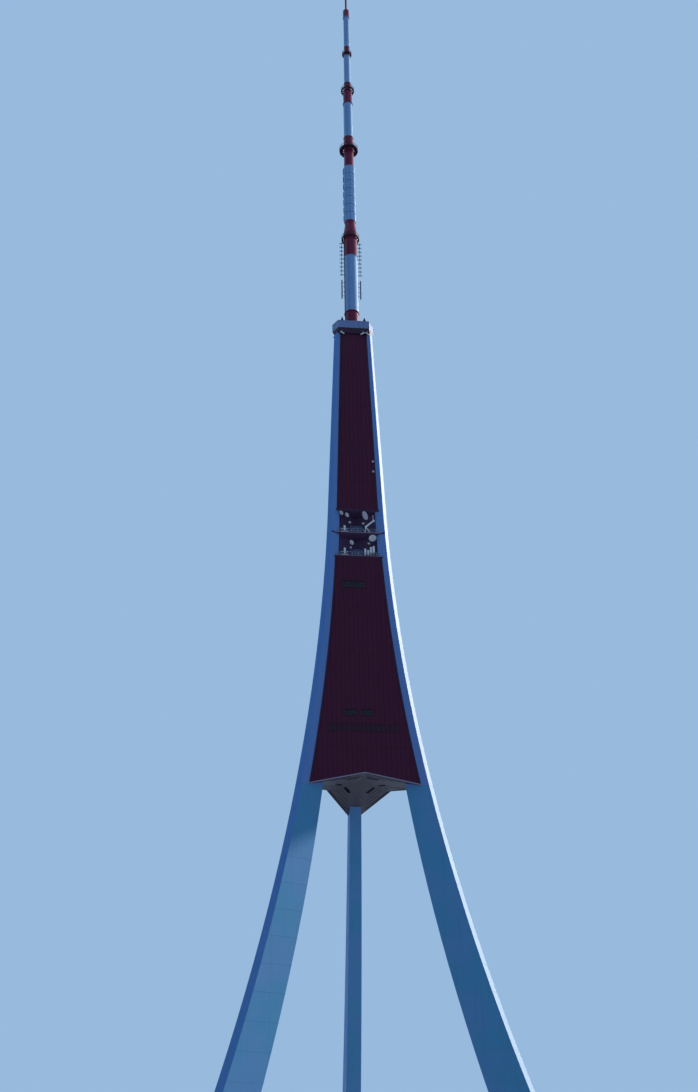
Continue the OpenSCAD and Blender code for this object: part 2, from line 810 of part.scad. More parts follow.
module equipment_railings()
    on_axis() color("silver")
        for (face = FACES, storey = [0, 1])
            rotate(face)
                railing(deck_z(storey));

module dishes_front()
    on_axis() color("whitesmoke")
        rotate(FACE_FRONT) {
            dish_group();
            wall_dish(wall_dish_rise);
            wall_dish(wall_dish_rise + wall_dish_pitch);
        }

module dishes_back_right() on_axis() color("whitesmoke") rotate(FACE_RIGHT) dish_group();
module dishes_back_left() on_axis() color("whitesmoke") rotate(FACE_LEFT) dish_group();

module equipment_partitions() on_axis() color("slategray") partitions();

module equipment_cabinets()
    on_axis() color("lightslategray")
        for (face = FACES, storey = [0, 1])
            rotate(face)
                cabinet_row(deck_z(storey));

module deck_panels()
    on_axis() color("whitesmoke")
        for (face = FACES)
            rotate(face)
                deck_panel_group();

module deck_davit() on_axis() color("whitesmoke") rotate(FACE_FRONT) davit();

module roof_deck() on_axis() color("gray") crown_deck();

module crown_parapet()
    on_axis() color("lightgray")
        translate([0, 0, crown_z])
            linear_extrude(height = crown_h)
                difference() {
                    crown_outline(0);
                    crown_outline(parapet_t);
                }

module roof_caps()
    on_axis() color("slategray")
        for (face = FACES, side = [-1, 1])
            rotate(face)
                translate([crown_long_r - parapet_t - roof_cap_d / 2 - seat_gap,
                           roof_cap_along * side, roof_z])
                    rotate_extrude()
                        polygon([
                            [0, 0], [roof_cap_d / 2, 0],
                            [roof_cap_d / 2, crown_h - floor_t + roof_cap_neck],
                            [0, crown_h - floor_t + roof_cap_rise]]);

// Lamps on brackets under the crown, turned down and sideways
module crown_lamps()
    on_axis() color("whitesmoke")
        difference() {
            for (face = FACES, lamp = [[-lamp_along, -1], [lamp_along - lamp_pitch / 2, 1],
                                       [lamp_along + lamp_pitch / 2, -1]])
                rotate(face)
                    translate([crown_foot_r + lamp_out, lamp[0], body_top_z - lamp_drop]) {
                        translate([-bracket_d / 2, -bracket_d / 2, 0])
                            cube([bracket_d, bracket_d, crown_rise]);
                        rotate([lamp[1] * lamp_turn, lamp_tilt, 0])
                            translate([-lamp_d / 2, -lamp_w / 2, -lamp_h / 2])
                                cube([lamp_d, lamp_w, lamp_h]);
                    }
            crown_deck();
        }

module mast_drum()
    on_axis() color("firebrick") {
        tube(roof_z, drum_h, drum_d);
        tube(drum_top_z - flange_t, flange_t, drum_d + 2 * flange_t);
    }

module mast_tube_white_low() on_axis() color("whitesmoke") tube(drum_top_z, white_low_h, low_tube_d);

module mast_tube_red_low()
    on_axis() color("firebrick")
        rotate_extrude()
            polygon([
                [0, low_red_z], [low_tube_d / 2, low_red_z], [low_tube_d / 2, cone_z],
                [collar_d / 2, cone_top_z], [collar_d / 2, panel_z], [0, panel_z]]);

module mast_panel_antenna()
    on_axis() color("whitesmoke") {
        tube(panel_z, panel_bays * panel_bay_h, mid_tube_d);
        for (i = [0 : panel_bays - 1])
            translate([0, 0, panel_z + i * panel_bay_h + panel_gap / 2])
                cylinder(d = panel_d, h = panel_bay_h - panel_gap, $fn = 8);
    }

module mast_tube_red_mid() on_axis() color("firebrick") tube(mid_red_z, red_mid_h, mid_tube_d);
module mast_tube_white_mid() on_axis() color("whitesmoke") tube(mid_white_z, white_mid_h, mid_white_d);

module mast_tube_red_high()
    on_axis() color("firebrick") {
        tube(high_red_z, red_high_h, mid_white_d);
        tube(high_red_z + flange_t, flange_t, mid_white_d + 2 * flange_t);
        tube(upper_platform_z, red_neck_h, high_red_d);
    }

module mast_tube_white_high() on_axis() color("whitesmoke") tube(high_white_z, white_high_h, high_white_d);
module mast_tube_red_top() on_axis() color("firebrick") tube(top_red_z, red_top_h, top_red_d);

module mast_top_antenna()
    on_axis() color("whitesmoke") {
        tube(top_antenna_z, top_bays * top_bay_h, top_red_d - flange_t);
        for (i = [0 : top_bays - 1])
            translate([0, 0, top_antenna_z + i * top_bay_h + panel_gap / 4])
                cylinder(d = top_antenna_d, h = top_bay_h - panel_gap / 2, $fn = 8);
    }

module mast_cap()
    on_axis() color("firebrick")
        rotate_extrude()
            polygon([
                [0, cap_z], [cap_d / 2, cap_z], [cap_d / 2, cap_top_z - cap_d / 2],
                [rod_d / 2, cap_top_z], [0, cap_top_z]]);

module mast_rod() on_axis() color("firebrick") tube(cap_top_z, rod_h, rod_d);

module platform_lowest()
    on_axis() color("darkred")
        platform(lowest_platform_z, lowest_platform_d, low_tube_d);

module platform_middle()
    on_axis() color("darkred")
        platform(middle_platform_z, middle_platform_d, mid_tube_d);

module platform_upper()
    on_axis() color("darkred")
        platform(upper_platform_z, upper_platform_d, mid_white_d);

module platform_highest()
    on_axis() color("darkred")
        platform(highest_platform_z, highest_platform_d, top_red_d);

module dipole_rows()
    on_axis() color("silver")
        for (side = [0, 180])
            rotate(side)
                dipole_row();

module side_panels()
    on_axis() color("lightgray")
        for (side = [0, 180], level = [0, 1])
            rotate(side)
                side_panel(drum_top_z + side_panel_rise + level * (side_panel_h + side_panel_gap));

leg_front_left_lower();
leg_front_right_lower();
leg_back_lower();
leg_front_left_upper();
leg_front_right_upper();
leg_back_upper();
wall_front_lower();
wall_back_right_lower();
wall_back_left_lower();
wall_front_upper();
wall_back_right_upper();
wall_back_left_upper();
soffit_front_left();
soffit_front_right();
soffit_back();
viewing_floor();
upper_viewing_floor();
service_floor();
equipment_floor();
equipment_mid_floor();
equipment_ceiling();
equipment_railings();
equipment_partitions();
equipment_cabinets();
deck_panels();
deck_davit();
dishes_front();
dishes_back_right();
dishes_back_left();
roof_deck();
crown_parapet();
roof_caps();
crown_lamps();
mast_drum();
mast_tube_white_low();
mast_tube_red_low();
mast_panel_antenna();
mast_tube_red_mid();
mast_tube_white_mid();
mast_tube_red_high();
mast_tube_white_high();
mast_tube_red_top();
mast_top_antenna();
mast_cap();
mast_rod();
platform_lowest();
platform_middle();
platform_upper();
platform_highest();
dipole_rows();
side_panels();
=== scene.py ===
"""Looks of the radio tower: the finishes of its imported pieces, and the fine pieces that they carry."""

import json
import math
from contextlib import contextmanager

import bpy
from bpy.props import FloatProperty, FloatVectorProperty, IntProperty, PointerProperty
from bpy.types import Operator, Panel, PropertyGroup
from mathutils import Matrix, Vector

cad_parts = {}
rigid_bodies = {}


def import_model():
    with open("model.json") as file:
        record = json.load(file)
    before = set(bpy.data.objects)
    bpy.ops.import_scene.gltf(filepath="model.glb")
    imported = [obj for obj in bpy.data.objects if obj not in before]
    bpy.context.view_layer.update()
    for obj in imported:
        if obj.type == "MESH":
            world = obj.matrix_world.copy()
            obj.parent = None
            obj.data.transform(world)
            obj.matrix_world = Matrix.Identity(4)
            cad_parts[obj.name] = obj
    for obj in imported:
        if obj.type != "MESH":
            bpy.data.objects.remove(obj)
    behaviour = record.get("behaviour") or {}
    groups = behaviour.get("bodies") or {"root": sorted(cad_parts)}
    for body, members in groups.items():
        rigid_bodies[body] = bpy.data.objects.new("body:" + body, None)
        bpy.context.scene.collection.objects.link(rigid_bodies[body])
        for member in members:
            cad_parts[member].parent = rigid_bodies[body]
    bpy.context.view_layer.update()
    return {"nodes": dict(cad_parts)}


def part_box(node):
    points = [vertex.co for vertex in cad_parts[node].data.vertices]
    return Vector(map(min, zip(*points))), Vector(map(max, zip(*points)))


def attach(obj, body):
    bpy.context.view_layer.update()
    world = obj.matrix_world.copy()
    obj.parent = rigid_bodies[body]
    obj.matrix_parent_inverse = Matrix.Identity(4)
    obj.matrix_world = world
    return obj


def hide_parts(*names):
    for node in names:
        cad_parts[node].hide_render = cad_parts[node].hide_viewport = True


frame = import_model()

bl_info = {
    "name": "Radio tower looks",
    "version": (1, 0, 0),
    "blender": (4, 5, 0),
    "location": "3D View > Sidebar > Tower",
    "description": "Builds the finishes and the fine pieces of a three-legged radio tower",
    "category": "Object",
}

# Bearings in degrees, from +X towards +Y.
FACES = {"front": 270, "back_right": 30, "back_left": 150}
LEGS = {"front_left": 210, "front_right": 330, "back": 90}
SUN_BEARING, SUN_HEIGHT = 18, 28
UP = Vector((0, 0, 1))

rod_low, rod_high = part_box("mast_rod")
AXIS = Vector((0, (rod_low.y + rod_high.y) / 2, 0))

# From the wall's face back to the dishes' pipes, and on to the deck antennas and the davit.
PIPES_BEHIND_WALL, ANTENNAS_BEFORE_PIPES = 0.045, 0.024
# Radii of the mast's pieces whose box is wider than the tube itself.
TUBE_RADII = {"mast_drum": 0.1925, "mast_tube_red_low": 0.1975, "mast_panel_antenna": 0.146,
              "mast_tube_red_high": 0.138, "mast_top_antenna": 0.0725, "mast_cap": 0.1}


def linear(red, green, blue):
    """A colour from its usual 0 to 255 numbers, as light."""
    parts = [value / 255 for value in (red, green, blue)]
    return tuple(p / 12.92 if p <= 0.04045 else ((p + 0.055) / 1.055) ** 2.4 for p in parts)


def colour(name, description, red, green, blue):
    """A colour property with its default given in the usual 0 to 255 numbers."""
    return FloatVectorProperty(name=name, description=description, subtype="COLOR", size=3,
                               min=0, max=1, default=linear(red, green, blue))


def length(name, description, default):
    """A length property, in metres."""
    return FloatProperty(name=name, description=description, unit="LENGTH", min=0, default=default)


def angle_of(name, description, degrees):
    """An angle property with its default given in degrees."""
    return FloatProperty(name=name, description=description, subtype="ANGLE", default=math.radians(degrees))


class TowerColours(PropertyGroup):
    """Colours of the tower's paints and sheets"""

    # The legs' blue is their pale paint as it looks in shade.
    leg: colour("Legs", "Paint of the three legs", 108, 155, 208)
    leg_patches: colour("Leg patches", "Greener tone of the lower legs, stronger in patches", 82, 157, 199)
    # Painted sunlight: the legs' faces towards the sun turn to this pale colour.
    leg_sunlit: colour("Bleached paint", "Leg paint on the side of the sun", 226, 233, 240)
    # Painted shade and reflection of the cladding on the legs' sides beside the cladding.
    leg_recess_shade: colour("Sheltered sides", "Duller leg paint beside the cladding", 115, 151, 215)
    # Painted shade: the legs' faces away from the sun turn to this deeper blue.
    shaded: colour("Shaded paint", "Deeper leg paint on the side away from the sun", 62, 130, 206)
    cladding: colour("Cladding", "Dark red sheets of the body", 80, 20, 53)
    streak: colour("Cladding streaks", "Redder streaks in the sheets", 98, 20, 48)
    soffit: colour("Soffit", "Sheets under the body", 88, 78, 86)
    edge: colour("Pale edges", "Folded edges of the soffit and capping of the parapet", 158, 146, 166)
    sill: colour("Deck sills", "Pinkish paint on the edges of the open decks", 178, 140, 162)
    floor: colour("Floors", "Paint of floors, ceilings and partitions", 98, 72, 108)
    red: colour("Mast red", "Red paint of the mast", 115, 9, 55)
    walkway: colour("Walkways", "Dark red paint of platforms and window frames", 58, 12, 40)
    # Dark paint; on the roof deck under the crown and on the strips in the recesses beside the legs it is
    # painted shade.
    underside: colour("Dark paint", "Dark paint of the roof deck, of fascias and of recesses", 54, 26, 54)
    # The mast's white as it looks in sunlight, painted on the side of the sun.
    white: colour("Mast white", "White paint of the mast", 176, 203, 232)
    # Painted shade: the mast's white shows this bluer colour except on the side of the sun.
    mast_white_shaded: colour("Mast white in shade", "White paint that the sun hasn't bleached", 130, 170, 214)
    dish: colour("Dishes", "Off-white paint of the dishes", 230, 216, 220)
    fitting: colour("White fittings", "White paint of the deck antennas and the davit", 250, 252, 252)
    parapet: colour("Parapet", "Sheets of the crown", 124, 144, 190)
    cabinet: colour("Cabinets", "Paint of cabinets and side antennas", 84, 88, 126)
    steel: colour("Steel", "Galvanised steel of rails and bolts", 150, 154, 158)
    glass: colour("Glass", "Tint of the windows", 34, 16, 40)
    grime: colour("Grime", "Dirt that runs down the paint", 88, 84, 80)


class TowerSizes(PropertyGroup):
    """Sizes of the fine pieces"""

    section: length("Leg section", "Height of one welded section of a leg", 0.55)
    weld: length("Weld", "Height of the weld seam round a leg", 0.010)
    rib_pitch: length("Seam pitch", "Distance between the standing seams of the cladding", 0.110)
    rib_width: length("Seam width", "Width of a standing seam", 0.010)
    rib_height: length("Seam height", "How far a standing seam stands out", 0.006)
    frame_lap: length("Frame lap", "How far a window frame covers the cladding", 0.009)
    frame_depth: length("Frame depth", "How far a window frame stands out", 0.010)
    bolt: length("Bolt", "Width of a flange bolt's head", 0.007)
    flange: length("Flange", "How far a flange stands out of its tube", 0.010)
    ladder_width: length("Ladder width", "Distance between the ladder's rails", 0.045)
    rung_pitch: length("Rung pitch", "Distance between rungs", 0.030)
    deck_ribs: IntProperty(name="Deck ribs", description="Radial ribs under a platform",
                           default=36, min=12)


class StageSettings(PropertyGroup):
    """Camera and light"""

    distance: length("Distance", "From the tower's axis to the camera, level", 26.5)
    height: length("Height", "Height of the camera over the ground", 0.684)
    bearing: angle_of("Bearing", "Turn of the tower against the camera's place", 6.64)
    yaw: angle_of("Yaw", "Camera's turn from the axis", -0.394)
    pitch: angle_of("Pitch", "Camera's angle above level", 28.848)
    roll: angle_of("Roll", "Camera's turn about its own axis", -0.912)
    lens: FloatProperty(name="Lens", description="Focal length", unit="CAMERA", default=39.5)
    key: FloatProperty(name="Key light", description="Strength of the soft key light", default=3.6)
    fill: FloatProperty(name="Fill light", description="Strength of the soft fill light", default=0.03)
    sky: FloatProperty(name="Sky light", description="Strength of the light from all round", default=0.2)


def colours():
    """Colours as they are set in the scene."""
    return bpy.context.scene.tower_colours


def sizes():
    """Sizes as they are set in the scene."""
    return bpy.context.scene.tower_sizes


def feed(node, inputs):
    """Gives a node's sockets their values or signals."""
    for key, value in inputs.items():
        if isinstance(value, Signal):
            value.tree.links.new(value.socket, node.inputs[key])
        else:
            node.inputs[key].default_value = value


class Signal:
    """A shader socket that Python's own sums work on: each adds its Math node."""

    def __init__(self, tree, socket=None):
        self.tree = tree
        self.socket = socket

    def node(self, kind, inputs=None, output=0, **settings):
        """Adds any node, makes its settings, then gives its sockets their values or signals."""
        new = self.tree.nodes.new(kind)
        for name, value in settings.items():
            setattr(new, name, value)
        feed(new, inputs or {})
        return Signal(self.tree, new.outputs[output])

    def maths(self, operation, *others):
        return self.node("ShaderNodeMath", dict(enumerate((self, *others))), operation=operation)

    def __add__(self, other):
        return self.maths("ADD", other)

    def __sub__(self, other):
        return self.maths("SUBTRACT", other)

    def __mul__(self, other):
        return self.maths("MULTIPLY", other)

    def __truediv__(self, other):
        return self.maths("DIVIDE", other)

    def __abs__(self):
        return self.maths("ABSOLUTE")

    def part(self, axis):
        """One of the three numbers of a place."""
        return self.node("ShaderNodeSeparateXYZ", {0: self}, "XYZ".index(axis))

    def normal(self):
        """The direction that the surface faces."""
        return self.node("ShaderNodeNewGeometry", output="Normal")

    def stretched(self, *scale):
        return self.node("ShaderNodeMapping", {0: self, "Scale": scale})

    def from_side(self, angle):
        """The place seen from a side of the tower."""
        return self.node("ShaderNodeMapping", {
            0: self, "Location": AXIS, "Rotation": (0, 0, math.radians(angle))}, vector_type="TEXTURE")

    def noise(self, scale, detail=3.0, roughness=0.5):
        return self.node("ShaderNodeTexNoise", {
            "Vector": self, "Scale": scale, "Detail": detail, "Roughness": roughness})

    def rise(self, low, high, bottom=0.0, top=1.0):
        """Goes smoothly from bottom to top as this signal goes from low to high."""
        return self.node("ShaderNodeMapRange", {
            "Value": self, "From Min": low, "From Max": high, "To Min": bottom, "To Max": top},
            interpolation_type="SMOOTHSTEP")

    def near_every(self, pitch, width):
        """1 on lines that repeat at a pitch, and 0 beyond their width."""
        offset = abs((self / pitch + 0.5).maths("FRACT") - 0.5) * pitch
        return offset.rise(width / 2, width, 1, 0)

    def random_by(self, pitch, seed=0.0):
        """A number from 0 to 1 that is the same over each step of a pitch."""
        step = (self / pitch + seed).maths("FLOOR")
        return step.node("ShaderNodeTexWhiteNoise", {"W": step}, noise_dimensions="1D")

    def mixed(self, first, second):
        """A colour that goes from first to second as this signal goes from 0 to 1."""
        return self.node("ShaderNodeMix", {0: self, 6: first, 7: second}, 2, data_type="RGBA")

    def bumps(self, distance, strength):
        """A normal from this signal taken as a height."""
        return self.node("ShaderNodeBump", {"Height": self, "Distance": distance, "Strength": strength})


def new_finish(name):
    """An empty material with its shader and the place on the object."""
    material = bpy.data.materials.new(name)
    material.use_nodes = True
    tree = material.node_tree
    return material, tree.nodes["Principled BSDF"], Signal(tree).node("ShaderNodeTexCoord", output="Object")


def shade(tint, factor=1):
    """A colour made darker or lighter, with full cover."""
    return tuple(min(1, part * factor) for part in tint) + (1,)


def painted(name, tint, mottle, streaks, roughness, joint=None, wear_and_light=None):
    """Old paint on steel: blotches, dirt that runs down, weld joints and a fine skin."""
    material, shader, place = new_finish(name)
    height = place.part("Z")
    blotches = place.noise(1.6, 5, 0.6)
    paint = blotches.mixed(shade(tint, 1 - mottle), shade(tint, 1 + mottle))
    if joint:
        tone = height.random_by(joint)
        paint = (tone * 0.4).mixed(paint, shade(tint, 1 - mottle))
    # The piece's own patches, with painted sunlight and shade by the way its faces look.
    if wear_and_light:
        paint = wear_and_light(place, paint)
    dirty = place.stretched(16, 16, 0.5).noise(1, 4, 0.6).rise(0.52, 0.78) * streaks
    paint = dirty.mixed(paint, shade(colours().grime))
    skin = place.noise(90, 2) * 0.15 + place.noise(7, 3) * 0.85
    if joint:
        seam = height.near_every(joint, 0.012)
        paint = (seam * 0.07).mixed(paint, shade(tint, 0.6))
        skin = skin + seam * 0.5
    feed(shader, {"Base Color": paint, "Roughness": blotches * 0.2 + (roughness - 0.1) + dirty * 0.3,
                  "Specular IOR Level": 0.3, "Normal": skin.bumps(0.0015, 0.6)})
    return material


def sun_side(place):
    """How far a face looks to the side of the sun, from -1 to 1."""
    sun = facing(SUN_BEARING)
    return place.normal().part("X") * sun.x + place.normal().part("Y") * sun.y


def leg_paint(part):
    """Paint of the legs: patchy, with painted shade and reflection of the cladding on the sides beside it,
    painted sunlight on the side of the sun and painted deeper shade on the side away from it.
    """
    def wear_and_light(place, paint):
        patches = place.noise(0.9, 3, 0.5).rise(0.4, 0.62)
        if part == "upper":
            # Painted shade and cladding reflection: the upper legs' side faces, beside the cladding, turn to
            # the duller colour.
            across = place.normal().part("X")
            sides = abs(across * (across * across * 4 - 3)).rise(0.7, 0.9)
            paint = (sides * 0.9).mixed(paint, shade(colours().leg_recess_shade))
        else:
            paint = (patches * 0.5 + 0.4).mixed(paint, shade(colours().leg_patches))
        sun = sun_side(place)
        # Painted shade: faces that look away from the sun turn to the deeper blue.
        paint = sun.rise(-0.95, -0.8, 0.9, 0).mixed(paint, shade(colours().shaded))
        # Painted sunlight: faces that look towards the sun turn pale, in patches.
        return (sun.rise(0.45, 0.7) * (patches * 0.12 + 0.48)).mixed(paint, shade(colours().leg_sunlit))
    return painted(f"leg_{part}_finish", colours().leg, 0.06, 0.16, 0.45, sizes().section, wear_and_light)


def mast_white():
    """White paint of the mast: bluer painted shade, with painted sunlight on the side of the sun."""
    def wear_and_light(place, paint):
        # Painted light: the side of the sun turns from the shaded white to the sunlit white.
        return (sun_side(place).rise(0.15, 0.45) * 0.9).mixed(paint, shade(colours().white))
    return painted("mast_white_finish", colours().mast_white_shaded, 0.05, 0.28, 0.38, wear_and_light=wear_and_light)


def cladding(side):
    """Dark red standing seam sheets: each sheet has its tone, with streaks and fine folds."""
    material, shader, place = new_finish(f"cladding_{side}_finish")
    local = place.from_side(FACES[side])
    along, height = local.part("Y"), local.part("Z")
    sheet_length, fold_pitch = 1.21, 0.022
    blotches = local.noise(1.3, 5, 0.6)
    tint = colours().cladding
    tone = (along.random_by(sizes().rib_pitch, 0.5) * 0.3 + blotches * 0.5
            + height.random_by(sheet_length) * 0.2)
    paint = tone.mixed(shade(tint, 0.85), shade(tint, 1.15))
    runs = local.stretched(1, 22, 0.35).noise(1, 4, 0.65)
    paint = (runs.rise(0.5, 0.75) * 0.4).mixed(paint, shade(colours().streak))
    lap = height.near_every(sheet_length, 0.008)
    paint = (lap * 0.6).mixed(paint, shade(tint, 0.35))
    folds = (along * (2 * math.pi / fold_pitch)).maths("SINE")
    feed(shader, {"Base Color": paint, "Roughness": blotches * 0.25 + 0.5, "Specular IOR Level": 0.25,
                  "Normal": (folds * 0.5 + lap * 1.5 + local.noise(30, 3)).bumps(0.0015, 0.5)})
    return material


def soffit_metal():
    """Grey sheets under the body, with panel joints and pale folded edges."""
    material, shader, place = new_finish("soffit_finish")
    level = abs(place.normal().part("Z")).rise(0.35, 0.6)
    blotches = place.noise(4, 5, 0.6)
    tint = colours().soffit
    sheet = blotches.mixed(shade(tint, 0.78), shade(tint, 1.12))
    joints = place.part("X").near_every(0.24, 0.006) + (place.part("Y") - AXIS.y).near_every(0.24, 0.006)
    sheet = (joints * 0.6).mixed(sheet, shade(tint, 0.4))
    feed(shader, {"Base Color": level.mixed(shade(colours().edge), sheet),
                  "Roughness": blotches * 0.2 + 0.45,
                  "Normal": (place.noise(25, 3) - joints).bumps(0.0015, 0.5)})
    return material


def galvanised_steel():
    """Zinc on steel, with its spangle and dull spots."""
    material, shader, place = new_finish("steel_finish")
    spangle = place.node("ShaderNodeTexVoronoi", {"Vector": place, "Scale": 120.0}, "Distance")
    dull = place.noise(14, 4, 0.6)
    tint = colours().steel
    feed(shader, {"Base Color": (spangle * 0.7 + dull * 0.5).mixed(shade(tint, 0.75), shade(tint, 1.3)),
                  "Metallic": 0.75, "Roughness": dull * 0.3 + 0.32, "Normal": dull.bumps(0.001, 0.4)})
    return material


def window_glass():
    """Tinted panes, with a spread of tone across them that is painted reflection."""
    material, shader, place = new_finish("glass_finish")
    # Painted reflection: the tone spreads across the panes.
    tone = place.noise(3.5, 2)
    tint = colours().glass
    feed(shader, {"Base Color": tone.rise(0.35, 0.65).mixed(shade(tint, 0.55), shade(tint, 1.5)),
                  "Roughness": tone * 0.1 + 0.08, "Transmission Weight": 0.35, "IOR": 1.5,
                  "Specular IOR Level": 0.2})
    return material


def dark_metal():
    """Dark louvres, battens, cables and boxes."""
    material, shader, place = new_finish("dark_metal_finish")
    dull = place.noise(20, 3)
    feed(shader, {"Base Color": dull.mixed((0.010, 0.008, 0.014, 1), (0.026, 0.022, 0.034, 1)),
                  "Specular IOR Level": 0.3, "Roughness": dull * 0.3 + 0.4, "Normal": dull.bumps(0.001, 0.3)})
    return material


def lamp_lens():
    """Clear lens of a lamp that isn't lit."""
    material, shader, place = new_finish("lens_finish")
    ribs = place.noise(60, 1)
    feed(shader, {"Base Color": ribs.mixed((0.75, 0.8, 0.85, 1), (0.95, 0.97, 1, 1)),
                  "Roughness": 0.12, "Normal": ribs.bumps(0.002, 0.5)})
    return material


FINISHES = {
    "leg_paint": leg_paint, "mast_white": mast_white, "wall_cladding": cladding,
    "soffit_metal": soffit_metal, "galvanised_steel": galvanised_steel, "window_glass": window_glass,
    "dark_metal": dark_metal, "lamp_lens": lamp_lens,
}
# The colour of each plain paint, and how much it is mottled, streaked and rough.
PAINTS = {
    "mast_red": ("red", 0.16, 0.22, 0.4), "dark_red": ("walkway", 0.2, 0.3, 0.5),
    "dish_white": ("dish", 0.04, 0.25, 0.4), "fitting_white": ("fitting", 0.02, 0.12, 0.38),
    "parapet_metal": ("parapet", 0.07, 0.35, 0.42), "antenna_grey": ("cabinet", 0.08, 0.2, 0.45),
    # The dark paint is also painted shade on the roof deck and on the recess strips.
    "floor_concrete_paint": ("floor", 0.12, 0.2, 0.6), "dark_paint": ("underside", 0.15, 0.2, 0.5),
    "sill_paint": ("sill", 0.1, 0.3, 0.45), "pale_edge": ("edge", 0.06, 0.3, 0.45),
}
made = {}


def finish(name, *details):
    """A finish by its name, built when it is first asked for."""
    key = (name, *details)
    if key not in made:
        if name in PAINTS:
            tint, *amounts = PAINTS[name]
            made[key] = painted(f"{name}_finish", getattr(colours(), tint), *amounts)
        else:
            made[key] = FINISHES[name](*details)
    return made[key]


def facing(angle):
    """Unit vector of a direction round the tower, from +X towards +Y."""
    return Vector((math.cos(math.radians(angle)), math.sin(math.radians(angle)), 0))


def around(angle):
    """Takes a piece made round the origin and looking along +X to a side of the tower."""
    return Matrix.Translation(AXIS) @ turn(angle, "Z")


def on_faces(*places):
    """Places on the side that looks along +X, taken to each side of the tower."""
    return [around(angle) @ place for angle in FACES.values() for place in places]


def shift(x, y, z):
    return Matrix.Translation((x, y, z))


def turn(degrees, axis):
    return Matrix.Rotation(math.radians(degrees), 4, axis)


def axes(*columns):
    """Takes X, Y and Z to three directions."""
    return Matrix(columns).transposed().to_4x4()


def top(node):
    """Height of a node's top."""
    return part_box(node)[1].z


def foot(node):
    """Height of a node's foot."""
    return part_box(node)[0].z


def radius_of(node):
    """Radius of a round node."""
    low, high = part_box(node)
    return (high.x - low.x) / 2


def tube_radius(node):
    """Radius of a piece of the mast, without what stands out of it."""
    return TUBE_RADII.get(node) or radius_of(node)


def met(node, start, direction):
    """Where a line first meets a node, and the node's normal there."""
    hit, place, normal, _ = frame["nodes"][node].ray_cast(start, direction)
    if not hit:
        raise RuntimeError(f"nothing of {node} is met from {start}")
    return place, normal


def outer_surface(node, angle, along, height):
    """Distance of a node's outside from the axis and its tilt in degrees, seen from one side."""
    out = facing(angle)
    place, normal = met(node, AXIS + out * 6 + facing(angle + 90) * along + UP * height, -out)
    return (place - AXIS).dot(out), math.degrees(math.atan2(normal.z, normal.dot(out)))


def leg_at(angle):
    """Name of the leg at a bearing."""
    return next(name for name, bearing in LEGS.items() if bearing == angle % 360)


def decks():
    """Heights of the decks of the open storeys."""
    return top("equipment_floor"), top("equipment_mid_floor")


def pipe_line():
    """Distance of the dishes' pipes from the axis, square to a side."""
    height = top("equipment_ceiling") + 0.01
    return outer_surface("wall_front_upper", FACES["front"], 0, height)[0] - PIPES_BEHIND_WALL


def open_half_width():
    """Half the width of an open side where its pipes stand."""
    start = AXIS + facing(FACES["front"]) * pipe_line() + UP * (top("equipment_ceiling") - 0.02)
    return (met("leg_front_right_upper", start, facing(0))[0] - start).length


def activate(*pieces):
    """Leaves only these pieces selected, the first one active, in object mode."""
    if bpy.context.object and bpy.context.object.mode != "OBJECT":
        bpy.ops.object.mode_set(mode="OBJECT")
    bpy.ops.object.select_all(action="DESELECT")
    for piece in pieces:
        piece.select_set(True)
    if pieces:
        bpy.context.view_layer.objects.active = pieces[0]


def added(name):
    """Names the piece that was just added and takes its place into its mesh."""
    bpy.ops.object.transform_apply(location=True, rotation=True, scale=True)
    piece = bpy.context.object
    piece.name = name
    return piece


@contextmanager
def edited(piece, wanted=None):
    """A piece in edit mode, with the faces selected whose centre and normal are wanted."""
    activate(piece)
    bpy.ops.object.mode_set(mode="EDIT")
    bpy.ops.mesh.select_mode(type="FACE")
    if wanted:
        bpy.ops.mesh.select_all(action="DESELECT")
        bpy.ops.object.mode_set(mode="OBJECT")
        for face in piece.data.polygons:
            face.select = wanted(face.center, face.normal)
        bpy.ops.object.mode_set(mode="EDIT")
    else:
        bpy.ops.mesh.select_all(action="SELECT")
    yield
    bpy.ops.object.mode_set(mode="OBJECT")


def outward(centre, normal):
    """Faces that look along +X."""
    return normal.x > 0.9


def ends(centre, normal):
    """Faces at the top and the bottom."""
    return abs(normal.z) > 0.9


def block(name, low, high, bevel=0):
    """A box between two corners."""
    low, high = Vector(low), Vector(high)
    activate()
    bpy.ops.mesh.primitive_cube_add(size=1, location=(low + high) / 2, scale=high - low)
    piece = added(name)
    return bevelled(piece, bevel) if bevel else piece


def bar(name, start, end, width, sides=6):
    """A straight bar between two points."""
    start, end = Vector(start), Vector(end)
    line = end - start
    activate()
    bpy.ops.mesh.primitive_cylinder_add(vertices=sides, radius=width / 2, depth=line.length,
                                        location=(start + end) / 2,
                                        rotation=line.to_track_quat("Z", "Y").to_euler())
    return added(name)


